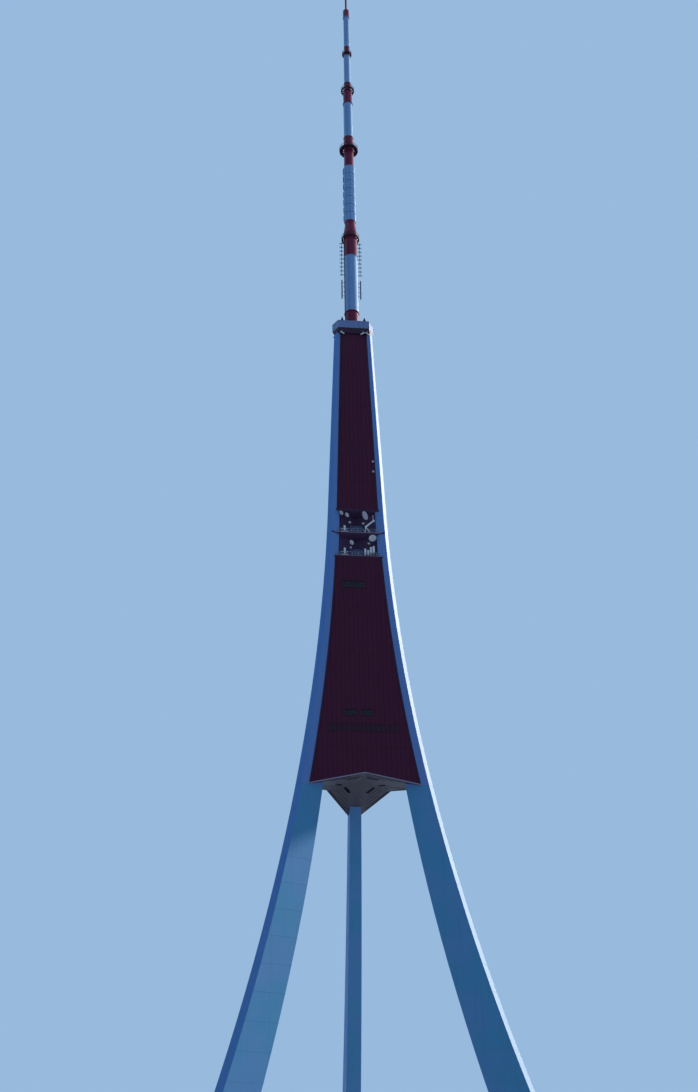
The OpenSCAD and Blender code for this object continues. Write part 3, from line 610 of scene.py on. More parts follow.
def turned(name, outline, sides=48, closed=True, at=Matrix()):
    """A piece turned round the upright axis from its outline of (radius, height) points, then placed."""
    activate()
    radius, height = outline[0]
    bpy.ops.mesh.primitive_circle_add(vertices=sides, radius=radius, fill_type="NOTHING",
                                      location=(0, 0, height))
    piece = added(name)
    bpy.ops.object.mode_set(mode="EDIT")
    bpy.ops.mesh.select_mode(type="EDGE")
    bpy.ops.mesh.select_all(action="SELECT")
    for next_radius, next_height in outline[1:] + (outline[:1] if closed else []):
        bpy.ops.mesh.extrude_edges_move(TRANSFORM_OT_translate={"value": (0, 0, next_height - height)})
        scale = next_radius / radius
        bpy.ops.transform.resize(value=(scale, scale, 1), center_override=(0, 0, next_height))
        radius, height = next_radius, next_height
    bpy.ops.mesh.select_all(action="SELECT")
    if closed:
        bpy.ops.mesh.remove_doubles(threshold=0.00001)
    else:
        bpy.ops.mesh.fill_holes(sides=0)
    bpy.ops.mesh.normals_make_consistent(inside=False)
    bpy.ops.object.mode_set(mode="OBJECT")
    piece.data.transform(at)
    return piece


def keep(piece, wanted):
    """Takes off all faces but the wanted ones."""
    with edited(piece, wanted):
        bpy.ops.mesh.select_all(action="INVERT")
        bpy.ops.mesh.delete(type="FACE")
    return piece


def cut(place, normal):
    """Cuts the faces of the piece in edit mode along a plane, and keeps both sides."""
    bpy.ops.mesh.select_all(action="SELECT")
    bpy.ops.mesh.bisect(plane_co=place, plane_no=normal)


def cut_strips(piece, lines, width):
    """Cuts along both edges of strips, each given by the direction across it and its place along that."""
    with edited(piece):
        for along, place in lines:
            for edge in (-width / 2, width / 2):
                cut(AXIS + along * (place + edge), along)


def within(centre, line, width):
    """Whether a face lies on a strip."""
    along, place = line
    return abs((centre - AXIS).dot(along) - place) < width / 2


def keep_strips(piece, lines, width, wanted=lambda centre, normal: True):
    """Cuts out strips, and takes off all else."""
    cut_strips(piece, lines, width)
    return keep(piece, lambda centre, normal: wanted(centre, normal) and any(
        within(centre, line, width) for line in lines))


def extrude(*step):
    bpy.ops.mesh.extrude_region_move(TRANSFORM_OT_translate={"value": step})


def opened(piece, wanted, border):
    """Opens a piece right through between two faces, and leaves a border."""
    with edited(piece, wanted):
        bpy.ops.mesh.inset(thickness=border)
        bpy.ops.mesh.bridge_edge_loops()
    return piece


def modified(piece, kind, **settings):
    """Applies a modifier."""
    activate(piece)
    modifier = piece.modifiers.new(kind.title(), kind)
    for name, value in settings.items():
        setattr(modifier, name, value)
    bpy.ops.object.modifier_apply(modifier=modifier.name)
    return piece


def bevelled(piece, width, segments=1):
    return modified(piece, "BEVEL", width=width, segments=segments, limit_method="ANGLE")


def thickened(piece, thickness):
    """Gives a skin its thickness, outwards."""
    return modified(piece, "SOLIDIFY", thickness=thickness, offset=1, use_even_offset=True)


def rounded_cover(name, low, high, inset, bulge, bevel):
    """A box with raised ends and round edges."""
    cover = block(name, low, high)
    with edited(cover, ends):
        bpy.ops.mesh.inset(thickness=inset)
        bpy.ops.mesh.extrude_region_shrink_fatten(TRANSFORM_OT_shrink_fatten={"value": -bulge})
    return bevelled(cover, bevel, 3)


def copy_of(node, name):
    """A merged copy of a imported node's mesh, as a start for a piece that follows its shape."""
    piece = bpy.data.objects.new(name, frame["nodes"][node].data.copy())
    bpy.context.scene.collection.objects.link(piece)
    activate(piece)
    bpy.ops.mesh.customdata_custom_splitnormals_clear()
    with edited(piece):
        bpy.ops.mesh.remove_doubles(threshold=0.00005)
    return piece


def joined(name, pieces, at=Matrix()):
    """Joins pieces into one, then takes it to its place."""
    activate(*pieces)
    if len(pieces) > 1:
        bpy.ops.object.join()
    pieces[0].name = name
    pieces[0].data.transform(at)
    return pieces[0]


def repeated(piece, places):
    """One piece made of a copy at each place, each with its own mesh."""
    copies = []
    for place in places:
        copy = bpy.data.objects.new(piece.name, piece.data.copy())
        copy.data.transform(place)
        bpy.context.scene.collection.objects.link(copy)
        copies.append(copy)
    name = piece.name
    bpy.data.objects.remove(piece)
    return joined(name, copies)


def spread(piece, low, high, pitch):
    """Copies of a piece, evenly from low to high, about a pitch apart."""
    count = max(2, round((high - low) / pitch))
    return repeated(piece, [shift(0, 0, low + (high - low) * (i + 0.5) / count) for i in range(count)])


def fitted(piece, look, slot=None, *details):
    """Gives a finished piece its finish, its smooth shading and its body; its slot is not used."""
    piece.data.materials.clear()
    piece.data.materials.append(finish(look, *details))
    activate(piece)
    bpy.ops.object.shade_smooth_by_angle(angle=math.radians(30))
    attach(piece, "root")


class TOWER_OT_stage(Operator):
    """Adds the floor, the lights, the pale backdrop and the camera"""

    bl_idname = "tower.stage"
    bl_label = "Stage"

    def execute(self, context):
        stage = context.scene.stage_settings
        backdrop = linear(152, 186, 221) + (1,)
        self.add_floor(backdrop)
        self.add_sky(context.scene, stage.sky, backdrop)
        self.add_sun(context.scene, "key_light", stage.key, SUN_BEARING, SUN_HEIGHT, 8, (1, 0.98, 0.95))
        self.add_sun(context.scene, "fill_light", stage.fill, 170, 25, 60, (0.94, 0.97, 1))
        self.add_camera(context.scene, stage)
        context.scene.view_settings.view_transform = "Standard"
        return {"FINISHED"}

    def add_floor(self, backdrop):
        """A wide plain floor that fades into the backdrop far away."""
        width, fade_start, fade_end = 1600, 50, 260
        activate()
        bpy.ops.mesh.primitive_plane_add(size=width)
        floor = added("floor")
        material, shader, place = new_finish("floor_backdrop")
        flat = place.stretched(1, 1, 0)
        distance = flat.node("ShaderNodeVectorMath", {0: flat}, "Value", operation="LENGTH")
        feed(shader, {"Base Color": place.noise(0.4, 2).mixed((0.37, 0.43, 0.5, 1), (0.41, 0.47, 0.54, 1)),
                      "Roughness": 0.8})
        glow = place.node("ShaderNodeEmission", {"Color": backdrop})
        paint = Signal(place.tree, shader.outputs["BSDF"])
        both = place.node("ShaderNodeMixShader", {0: distance.rise(fade_start, fade_end), 1: paint, 2: glow})
        feed(place.tree.nodes["Material Output"], {"Surface": both})
        floor.data.materials.append(material)

    def add_sky(self, scene, strength, backdrop):
        """Soft light from all round, behind which the backdrop is seen."""
        world = bpy.data.worlds.new("soft_light")
        world.use_nodes = True
        scene.world = world
        seen = Signal(world.node_tree).node("ShaderNodeLightPath", output="Is Camera Ray")
        for ray in ("Is Glossy Ray", "Is Transmission Ray"):
            seen = seen.maths("MAXIMUM", Signal(seen.tree, seen.tree.nodes["Light Path"].outputs[ray]))
        ambient = shade((0.50, 0.92, 1.50), strength)
        feed(world.node_tree.nodes["Background"], {"Color": seen.mixed(ambient, backdrop)})

    def add_sun(self, scene, name, strength, bearing, height, softness, tint):
        """A light from far away, with its bearing, height and softness in degrees."""
        lamp = bpy.data.lights.new(name, "SUN")
        lamp.energy = strength
        lamp.angle = math.radians(softness)
        lamp.color = tint
        holder = bpy.data.objects.new(name, lamp)
        scene.collection.objects.link(holder)
        towards = facing(bearing) + UP * math.tan(math.radians(height))
        holder.rotation_euler = towards.to_track_quat("Z", "Y").to_euler()

    def add_camera(self, scene, stage):
        camera = bpy.data.cameras.new("camera")
        camera.lens = stage.lens
        camera.sensor_width = 36
        camera.clip_end = 3000
        viewer = bpy.data.objects.new("camera", camera)
        scene.collection.objects.link(viewer)
        place = AXIS + Matrix.Rotation(-stage.bearing, 3, "Z") @ Vector((0, -stage.distance, stage.height))
        heading = Matrix.Rotation(-stage.bearing - stage.yaw, 4, "Z")
        lift = Matrix.Rotation(math.pi / 2 + stage.pitch, 4, "X")
        viewer.matrix_world = Matrix.Translation(place) @ heading @ lift @ Matrix.Rotation(stage.roll, 4, "Z")
        scene.camera = viewer


class TOWER_OT_packed_finishes(Operator):
    """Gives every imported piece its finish"""

    bl_idname = "tower.packed_finishes"
    bl_label = "Finishes of the packed pieces"

    def execute(self, context):
        # The roof deck's dark paint is painted shade under the crown.
        other = {"roof_caps": "dark_paint", "roof_deck": "dark_paint", "deck_davit": "fitting_white"}
        for name, node in frame["nodes"].items():
            slot = node.material_slots[0]
            kind = slot.material.name
            group, part = name.rsplit("_", 1)
            if group == "platform":
                slot.material = finish("dark_red")
            elif name in other:
                slot.material = finish(other[name])
            elif kind == "wall_cladding":
                slot.material = finish(kind, group.removeprefix("wall_"))
            elif kind == "leg_paint":
                slot.material = finish(kind, part)
            else:
                slot.material = finish(kind)
        return {"FINISHED"}


class TOWER_OT_leg_welds(Operator):
    """Adds the weld seams between the sections of each leg"""

    bl_idname = "tower.leg_welds"
    bl_label = "Leg welds"

    def execute(self, context):
        section = sizes().section
        for leg in LEGS:
            for part in ("lower", "upper"):
                node = f"leg_{leg}_{part}"
                first, last = math.floor(foot(node) / section) + 1, math.ceil(top(node) / section)
                lines = [(UP, i * section) for i in range(first, last)]
                band = keep_strips(copy_of(node, f"leg_welds_{leg}_{part}"), lines, sizes().weld,
                                   lambda centre, normal: abs(normal.z) < 0.8)
                fitted(thickened(band, 0.0015), "leg_paint", "leg_paint", part)
        return {"FINISHED"}


class TOWER_OT_cladding_seams(Operator):
    """Adds the standing seams of the cladding on every wall"""

    bl_idname = "tower.cladding_seams"
    bl_label = "Cladding seams"

    def execute(self, context):
        for side, angle in FACES.items():
            for part in ("lower", "upper"):
                seams = self.seams(angle, f"wall_{side}_{part}")
                fitted(seams, "wall_cladding", "wall_cladding", side)
        return {"FINISHED"}

    def seams(self, angle, node):
        """Strips of the wall's outer skin, cut out at the pitch and thickened."""
        out, along = facing(angle), facing(angle + 90)
        pitch = sizes().rib_pitch
        piece = copy_of(node, node.replace("wall", "seams"))
        keep(piece, lambda centre, normal: normal.dot(out) > 0.7)
        with edited(piece, lambda centre, normal: abs((centre - AXIS).dot(along)) < 0.2):
            bpy.ops.mesh.select_linked()
            bpy.ops.mesh.select_all(action="INVERT")
            bpy.ops.mesh.delete(type="FACE")
        count = int(max(abs((Vector(corner) - AXIS).dot(along)) for corner in piece.bound_box) / pitch)
        lines = [(along, (i + 0.5) * pitch) for i in range(-count - 1, count + 1)]
        return thickened(keep_strips(piece, lines, sizes().rib_width), sizes().rib_height)


class TOWER_OT_painted_shadow_strips(Operator):
    """Adds dark strips of painted shadow in the recesses between the cladding and the legs"""

    bl_idname = "tower.edge_strips"
    bl_label = "Edge strips"

    def execute(self, context):
        for side, angle in FACES.items():
            for part in ("lower", "upper"):
                strips = [self.strip(angle, f"wall_{side}_{part}", way) for way in (-1, 1)]
                # Painted shadow: dark strips where the recess between cladding and leg lies in shade.
                fitted(joined(f"edge_strips_{side}_{part}", strips, around(angle)),
                       "dark_paint", "wall_cladding")
        return {"FINISHED"}

    def strip(self, angle, wall, way):
        """A flat bar extruded down the line where the wall meets a leg, seen from its side."""
        leg = f"leg_{leg_at(angle + 60 * way)}_upper"
        width, proud, gap, count = 0.034, 0.004, 0.003, 16
        start_height, rise = top(wall) - 0.004, top(wall) - foot(wall) - 0.06
        line, reach = [], 0.16
        for i in range(count + 1):
            height = start_height - rise * i / count
            distance = outer_surface(wall, angle, way * (reach - 0.06), height)[0] - 0.015
            start = AXIS + facing(angle) * (distance + 0.002) + UP * height
            reach = (met(leg, start, facing(angle + 90 * way))[0] - start).length
            line.append(Vector((distance, way * (reach - gap - width / 2), height)))
        line.append(line[-1] + (line[-1] - line[-2]).normalized() * 0.04)
        first = line[0]
        thin = Vector((0, 0, 0.001))
        piece = block("strip", first + Vector((-0.003, -width / 2, 0)) - thin,
                      first + Vector((proud, width / 2, 0)))
        with edited(piece, lambda centre, normal: normal.z < -0.9):
            for above, below in zip(line, line[1:]):
                extrude(*(below - above + (thin if above == first else Vector())))
        return piece


class TOWER_OT_windows(Operator):
    """Adds the frames and panes of the three window rows on every side"""

    bl_idname = "tower.windows"
    bl_label = "Windows"

    def execute(self, context):
        # Name, floor, sill above it, width, height, places along the side, lights in each.
        rows = (
            ("slit", "viewing_floor", 0.12, 0.045, 0.175, [(i - 7) * 0.11 for i in range(15)], 1),
            ("wide", "upper_viewing_floor", 0.055, 0.28, 0.14, [-0.2825, 0.0825], 4),
            ("single", "service_floor", 0.10, 0.56, 0.18, [-0.14], 7),
        )
        between = 0.385
        for side, angle in FACES.items():
            for name, floor, sill, width, rise, places, lights in rows:
                height = top(floor) + sill + rise / 2
                distance, tilt = outer_surface(f"wall_{side}_lower", angle, between, height)
                at = [around(angle) @ shift(distance, place, height) @ turn(-tilt, "Y") for place in places]
                rim = repeated(self.frame(f"{name}_frames_{side}", width, rise, lights), at)
                fitted(rim, "dark_red", "wall_cladding")
                panes = repeated(self.pane(f"{name}_panes_{side}", width, rise), at)
                fitted(panes, "window_glass", "wall_cladding")
        return {"FINISHED"}

    def frame(self, name, width, rise, lights):
        """A frame that covers the edge of its opening, with bars between its lights."""
        lap, depth, cover = sizes().frame_lap, sizes().frame_depth, 0.002
        half_width, half_rise = width / 2 + lap, rise / 2 + lap
        rim = opened(block(name, (0, -half_width, -half_rise), (depth, half_width, half_rise)),
                     lambda centre, normal: abs(normal.x) > 0.9, lap + cover)
        bars = [block("bar", (-0.008, y - 0.003, -rise / 2), (depth * 0.7, y + 0.003, rise / 2))
                for y in [width * (i / lights - 0.5) for i in range(1, lights)]]
        return bevelled(joined(name, [rim, *bars]), 0.001)

    def pane(self, name, width, rise):
        """A pane that is set back in its opening, with a bead round it."""
        pane = block(name, (-0.014, -width / 2, -rise / 2), (-0.009, width / 2, rise / 2))
        with edited(pane, outward):
            bpy.ops.mesh.inset(thickness=0.004, depth=-0.0015)
        return pane


class TOWER_OT_soffit_louvres(Operator):
    """Adds the framed louvres in the vents under the body, and dark lines on its sheets: rows that are
    painted shade in their grooves, and a band along each outer edge
    """

    bl_idname = "tower.soffit_louvres"
    bl_label = "Soffit louvres"

    def execute(self, context):
        halves = [(side, way, f"soffit_{leg_at(angle + 60 * way)}")
                  for side, angle in FACES.items() for way in (1, -1)]
        self.louvres(halves)
        # Distance from the axis, start along the side, length and width of each row of painted groove shade.
        rows = ((0.55, 0.05, 0.40, 0.012), (0.64, 0.05, 0.62, 0.012), (0.72, 0.30, 0.50, 0.012),
                (0.80, 0.05, 0.88, 0.014))
        dark_lines = []
        for side, way, plate in halves:
            # Rows of painted shade: dark bars where the sheets' grooves lie in shade.
            for distance, start, long, width in rows:
                at = self.plate_place(plate, FACES[side], distance, way * (start + long / 2), distance)
                dark_lines.append(self.batten(width, long, at))
            dark_lines.append(self.edge_band(plate, side, way))
        fitted(joined("soffit_battens", dark_lines), "dark_metal", "soffit_metal")
        return {"FINISHED"}

    def louvres(self, halves):
        """Slats in a frame, one for each half of a side."""
        distance, width, start, run, border, count = 0.44, 0.06, 0.09, 0.26, 0.006, 11
        half_width, half_run = width / 2 + border, run / 2 + border
        rim = opened(block("louvres", (-half_width, -half_run, -0.001), (half_width, half_run, 0.006)),
                     ends, border + 0.002)
        slat = block("slat", (-width / 2, -0.010, -0.0008), (width / 2, 0.010, 0.0008), 0.0004)
        slats = repeated(slat, [shift(0, (i - count // 2) * run / count, -0.006) @ turn(48, "X")
                                for i in range(count)])
        beside = distance + width * 0.8
        places = [self.plate_place(plate, FACES[side], beside, way * (start + run / 2), distance)
                  for side, way, plate in halves]
        fitted(repeated(joined("soffit_louvres", [rim, slats]), places), "dark_metal", "soffit_metal")

    def batten(self, width, long, at):
        """A flat bar on a sheet."""
        return repeated(bevelled(block("batten", (-width / 2, -long / 2, -0.001),
                                       (width / 2, long / 2, 0.004)), 0.0015), [at])

    def edge_band(self, plate, side, way):
        """A band along a plate's outer edge, which draws in as the plate rises."""
        angle, ends_at = FACES[side], []
        for along in (0.06, 0.98):
            distance = 0.8
            for _ in range(3):
                under = self.plate_place(plate, angle, distance, way * along, distance)
                height = under.translation.z + 0.05
                distance = outer_surface(f"wall_{side}_lower", angle, way * along, height)[0] - 0.022
            ends_at.append(self.plate_place(plate, angle, distance, way * along, distance))
        start, end = (place.translation for place in ends_at)
        normal = ends_at[0].col[2].to_3d()
        along_edge = (end - start).normalized()
        turned_place = axes(along_edge.cross(normal), along_edge, normal)
        return self.batten(0.034, (end - start).length, Matrix.Translation((start + end) / 2) @ turned_place)

    def plate_place(self, plate, angle, probe, along, distance):
        """Puts the origin on a soffit plate's underside, with Z out of it and Y along the side."""
        out, side = facing(angle), facing(angle + 90)
        place, normal = met(plate, AXIS + out * probe + side * along, UP)
        centre = place + out * (distance - probe)
        centre.z = place.z - (centre - place).dot(normal) / normal.z
        along_plate = (side - normal * side.dot(normal)).normalized()
        return Matrix.Translation(centre) @ axes(along_plate.cross(normal), along_plate, normal)


class TOWER_OT_deck_trims(Operator):
    """Adds the fascias and sills of the open storeys' decks, and the collars on the legs"""

    bl_idname = "tower.deck_trims"
    bl_label = "Deck trims"

    def execute(self, context):
        for node, sill in (("equipment_floor", 0.010), ("equipment_mid_floor", 0.016),
                           ("equipment_ceiling", 0)):
            height = top(node)
            bands = [("fascia", 0, height - sill, "dark_paint", 0.002)]
            if sill:
                bands.append(("sill", height - sill, height, "sill_paint", 0.006))
            for name, low, high, look, proud in bands:
                trim = copy_of(node, node.replace("equipment", name))
                with edited(trim):
                    cut((0, 0, height - sill), UP)
                keep(trim, lambda centre, normal: low < centre.z < high and abs(normal.z) < 0.6 and max(
                    normal.dot(facing(angle)) for angle in FACES.values()) > 0.92)
                fitted(thickened(trim, proud), look, "galvanised_steel")
        self.collars()
        return {"FINISHED"}

    def collars(self):
        """Dark bands on the legs' sides at the level of the middle deck."""
        low, high = foot("equipment_mid_floor"), top("equipment_mid_floor")
        bands = []
        for leg, bearing in LEGS.items():
            leg_copy = copy_of(f"leg_{leg}_upper", f"collar_{leg}")
            band = keep_strips(leg_copy, [(UP, (low + high) / 2)], high - low,
                               lambda centre, normal: abs(normal.dot(facing(bearing + 90))) > 0.9)
            bands.append(thickened(band, 0.004))
        fitted(joined("deck_collars", bands), "dark_paint", "galvanised_steel")


class TOWER_OT_dish_fittings(Operator):
    """Adds rims, struts, hubs and clamps to the dishes, and sleeves to their pipes"""

    bl_idname = "tower.dish_fittings"
    bl_label = "Dish fittings"

    def execute(self, context):
        # Storey, share of the half width, drop from the ceiling, diameter and bearing of each dish.
        dishes = (
            (1, -0.91, 0.075, 0.120, 35), (1, -0.61, 0.130, 0.125, 35), (1, 0.31, 0.135, 0.235, 46),
            (1, -0.43, 0.340, 0.060, 10), (1, 0.31, 0.360, 0.060, -15), (0, -0.38, 0.245, 0.125, 30),
            (0, 0.79, 0.110, 0.188, -12), (0, 0.55, 0.255, 0.060, 15), (0, -0.38, 0.385, 0.050, -10),
        )
        floors, pipes, half_width = decks(), pipe_line(), open_half_width()
        rise = foot("equipment_mid_floor") - floors[0]
        for side, angle in FACES.items():
            parts = []
            for storey, share, drop, diameter, bearing in dishes:
                at = shift(pipes, share * half_width, floors[storey] + rise - drop) @ turn(bearing, "Z")
                parts.append(repeated(self.fitting(diameter), [around(angle) @ at]))
            if side == "front":
                parts += self.wall_fittings(angle)
            fitted(joined(f"dish_fittings_{side}", parts), "galvanised_steel")
        sleeves = []
        for storey, share in dict.fromkeys(dish[:2] for dish in dishes):
            sleeve = turned("sleeve", [(0.0055, 0), (0.0072, 0.001), (0.0072, rise - 0.003),
                                       (0.0055, rise - 0.002)], 12)
            sleeves.append(repeated(sleeve, on_faces(
                shift(pipes, share * half_width, floors[storey] + 0.001))))
        fitted(joined("pipe_sleeves", sleeves), "dark_paint", "galvanised_steel")
        return {"FINISHED"}

    def wall_fittings(self, angle):
        """Fittings of the two small dishes on the upper wall."""
        parts = []
        for above in (1.130, 1.440):
            height = top("equipment_ceiling") + above
            wall = outer_surface("wall_front_upper", angle, 0.3, height)[0]
            parts.append(repeated(self.fitting(0.056), [around(angle) @ shift(wall + 0.024, 0.425, height)]))
        return parts

    def fitting(self, diameter):
        """Rim, feed struts and pipe clamps of a dish that looks along +X, on a pipe at the origin."""
        back, depth, radius = 0.020, diameter * 0.16, diameter / 2
        rim_place, feed_place = back + depth, back + depth * 1.6
        parts = [turned("fitting", [(radius - 0.002, -0.002), (radius + 0.002, -0.002),
                                    (radius + 0.003, 0.003), (radius - 0.001, 0.005)], 32,
                        at=shift(rim_place, 0, 0) @ turn(90, "Y"))]
        for bearing in (90, 210, 330):
            out = facing(bearing) * radius
            parts.append(bar("strut", (rim_place + 0.002, out.x, out.y),
                             (feed_place + 0.004, 0, 0), 0.0024, 5))
        for height in (-0.016, 0.016):
            parts.append(block("clamp", (-0.010, -0.011, height - 0.004), (0.012, 0.011, height + 0.004),
                               0.0015))
        if diameter > 0.1:
            parts.append(turned("hub", [(0.020, 0), (0.030, 0.006), (0.012, -0.010)], 16,
                                at=shift(back - 0.004, 0, 0) @ turn(90, "Y")))
        return joined("fitting", parts)


class TOWER_OT_cabinets(Operator):
    """Replaces the plain cabinets on the decks by ones with doors, louvres and handles"""

    bl_idname = "tower.cabinets"
    bl_label = "Cabinets"

    def execute(self, context):
        width, rise = 0.075, 0.245
        front, back = pipe_line() - 0.060, pipe_line() - 0.120
        cabinet = block("cabinets", (back, -width / 2, 0), (front, width / 2, rise))
        with edited(cabinet, outward):
            for thickness, depth in ((0.005, 0), (0.0012, -0.002), (0.0012, 0.002)):
                bpy.ops.mesh.inset(thickness=thickness, depth=depth)
        bevelled(cabinet, 0.001)
        handle = block("handle", (front - 0.001, width * 0.28, rise * 0.45),
                       (front + 0.004, width * 0.34, rise * 0.58), 0.001)
        slat = block("slat", (-0.003, -width * 0.3, -0.0006), (0.002, width * 0.3, 0.0006), 0.0003)
        slats = repeated(slat, [shift(front, 0, rise * 0.1 + i * 0.006) @ turn(30, "Y") for i in range(8)])
        cap = block("cap", (back - 0.002, -width / 2 - 0.002, rise - 0.004),
                    (front + 0.003, width / 2 + 0.002, rise + 0.003), 0.0015)
        cabinets = repeated(joined("cabinets", [cabinet, handle, slats, cap]), on_faces(*(
            shift(0, (i - 1.5) * 0.085 - 0.040, deck) for deck in decks() for i in range(4))))
        fitted(cabinets, "antenna_grey")
        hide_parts("equipment_cabinets")
        return {"FINISHED"}


class TOWER_OT_deck_antennas(Operator):
    """Replaces the plain panels on the decks by rounded covers on round posts with clamps"""

    bl_idname = "tower.deck_antennas"
    bl_label = "Deck antennas"

    def execute(self, context):
        # Storey, share of the half width, height of the top and length of each cover.
        panels = ((1, -0.7, 0.200, 0.140), (0, -0.71, 0.235, 0.160), (0, 0.37, 0.230, 0.180),
                  (0, 0.53, 0.190, 0.130), (0, 0.67, 0.280, 0.170), (0, 0.82, 0.310, 0.190))
        braces = ((0.10, 0.16), (0.16, 0.10), (0.17, 0.23), (0.23, 0.17), (0.24, 0.29), (0.29, 0.24))
        line, half_width, floors = pipe_line() + ANTENNAS_BEFORE_PIPES, open_half_width(), decks()
        groups = [repeated(self.antenna(height, long, share < 0),
                           on_faces(shift(line, share * half_width, floors[storey])))
                  for storey, share, height, long in panels]
        near, far = 0.67 * half_width, 0.82 * half_width
        lattice = joined("lattice", [
            bevelled(bar("brace", (0, near, low), (0, far, high), 0.010, 8), 0.002) for low, high in braces])
        groups.append(repeated(lattice, on_faces(shift(line - 0.011, 0, floors[0]))))
        antennas = joined("deck_antennas", groups)
        fitted(antennas, "fitting_white", "dish_white")
        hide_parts("deck_panels")
        return {"FINISHED"}

    def antenna(self, height, long, crossed):
        """One cover on its post, which stands on a foot plate."""
        parts = [rounded_cover("antenna", (-0.007, -0.024, height - long), (0.007, 0.024, height),
                               0.002, 0.001, 0.005),
                 bar("post", (-0.007, 0, 0), (-0.007, 0, height - 0.012), 0.008, 10),
                 block("foot", (-0.013, -0.012, 0), (0.003, 0.012, 0.004), 0.001)]
        for share in (0.2, 0.8):
            level = height - long + long * share
            parts.append(block("clamp", (-0.0125, -0.007, level - 0.004), (-0.002, 0.007, level + 0.004),
                               0.001))
        for share in (0.15, 0.5) if crossed else ():
            level = height * share + 0.008
            parts.append(bevelled(bar("crossbar", (0, -0.085, level), (0, 0.085, level), 0.017, 8), 0.002))
            parts += [block("tip", (-0.010, side - 0.012, level - 0.010),
                            (0.010, side + 0.012, level + 0.014), 0.003) for side in (-0.07, 0.07)]
        return joined("antenna", parts)


class TOWER_OT_davit_fittings(Operator):
    """Adds the head, the wheel, the bands and the foot bolts of the davit on the upper deck"""

    bl_idname = "tower.davit_fittings"
    bl_label = "Davit fittings"

    def execute(self, context):
        line, deck = pipe_line() + ANTENNAS_BEFORE_PIPES, decks()[1]
        joint = Vector((line, 0.43 * open_half_width(), deck + 0.185))
        arm = Vector((0, 0.207, 0.190))
        tip = joint + arm
        upright = arm.to_track_quat("Z", "Y").to_matrix().to_4x4()
        # Name, outline, place and turn of each turned part.
        band = [(0.0195, -0.006), (0.0225, -0.005), (0.0225, 0.005), (0.0195, 0.006)]
        rounds = [("davit_fittings", [(0.018, -0.030), (0.024, -0.027), (0.024, 0.008), (0.016, 0.016)],
                   tip, upright),
                  ("wheel", [(0.005, -0.004), (0.017, -0.006), (0.014, 0), (0.017, 0.006), (0.005, 0.004)],
                   tip - UP * 0.026, turn(90, "Y")),
                  *(("band", band, joint + arm * share, upright) for share in (0.25, 0.5, 0.75))]
        parts = [turned(name, outline, 20, name != "davit_fittings", Matrix.Translation(place) @ turning)
                 for name, outline, place, turning in rounds]
        bolt = bar("bolt", (0, 0, 0.006), (0, 0, 0.012), 0.006, 6)
        parts.append(repeated(bolt, [shift(line + x, joint.y + y, deck) for x in (-0.007, 0.007)
                                     for y in (-0.045, 0.040, 0.122)]))
        fitted(joined("davit_fittings", parts, around(FACES["front"])), "fitting_white", "dish_white")
        return {"FINISHED"}


class TOWER_OT_crown_trims(Operator):
    """Adds the parapet's capping and upright sheet joints"""

    bl_idname = "tower.crown_trims"
    bl_label = "Crown trims"

    def execute(self, context):
        cap = copy_of("crown_parapet", "parapet_cap")
        keep(cap, lambda centre, normal: normal.z > 0.9)
        thickened(cap, 0.008)
        with edited(cap):
            bpy.ops.transform.resize(value=(1.012, 1.012, 1), center_override=AXIS)
        fitted(cap, "pale_edge", "parapet_metal")

        joints = copy_of("crown_parapet", "parapet_joints")
        keep(joints, lambda centre, normal: abs(normal.z) < 0.2 and normal.dot(centre - AXIS) > 0)
        pitch, width = 0.14, 0.008
        lines = [(facing(angle + 90), i * pitch)
                 for angle in [*FACES.values(), *LEGS.values()] for i in range(-2, 3)]
        cut_strips(joints, lines, width)
        keep(joints, lambda centre, normal: any(
            normal.dot(line[0].cross(UP)) > 0.98 and within(centre, line, width) for line in lines))
        fitted(thickened(joints, 0.004), "parapet_metal")
        return {"FINISHED"}


class TOWER_OT_crown_lamps(Operator):
    """Replaces the plain lamps under the crown by housings with lenses"""

    bl_idname = "tower.crown_lamps"
    bl_label = "Crown lamps"

    def execute(self, context):
        ceiling = top("wall_front_upper")
        corners = frame["nodes"]["leg_front_left_upper"].data.vertices
        distance = 0.030 + max((v.co - AXIS).dot(facing(FACES["front"]))
                               for v in corners if v.co.z > ceiling - 0.001)
        # Place along the side and sideways turn of each lamp.
        lamps = ((-0.314, -35), (0.244, 35), (0.384, -35))
        stems = on_faces(*(shift(distance, along, ceiling - 0.017) for along, side in lamps))
        places = on_faces(*(shift(distance, along, ceiling - 0.017) @ turn(side, "X") @ turn(40, "Y")
                            for along, side in lamps))
        housing = block("crown_lamp_housings", (-0.018, -0.0625, -0.015), (0.012, 0.0625, 0.015))
        with edited(housing, outward):
            extrude(0.006, 0, 0)
            bpy.ops.mesh.inset(thickness=0.003)
            extrude(-0.003, 0, 0)
        bevelled(housing, 0.0015, 2)
        stem = repeated(bar("stem", (0, 0, 0.008), (0, 0, 0.092), 0.008, 8), stems)
        housings = joined("crown_lamp_housings", [repeated(housing, places), stem])
        fitted(housings, "dish_white")
        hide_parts("crown_lamps")
        lens = block("crown_lamp_lenses", (0.012, -0.058, -0.011), (0.0165, 0.058, 0.011), 0.001)
        fitted(repeated(lens, places), "lamp_lens", "dish_white")
        return {"FINISHED"}


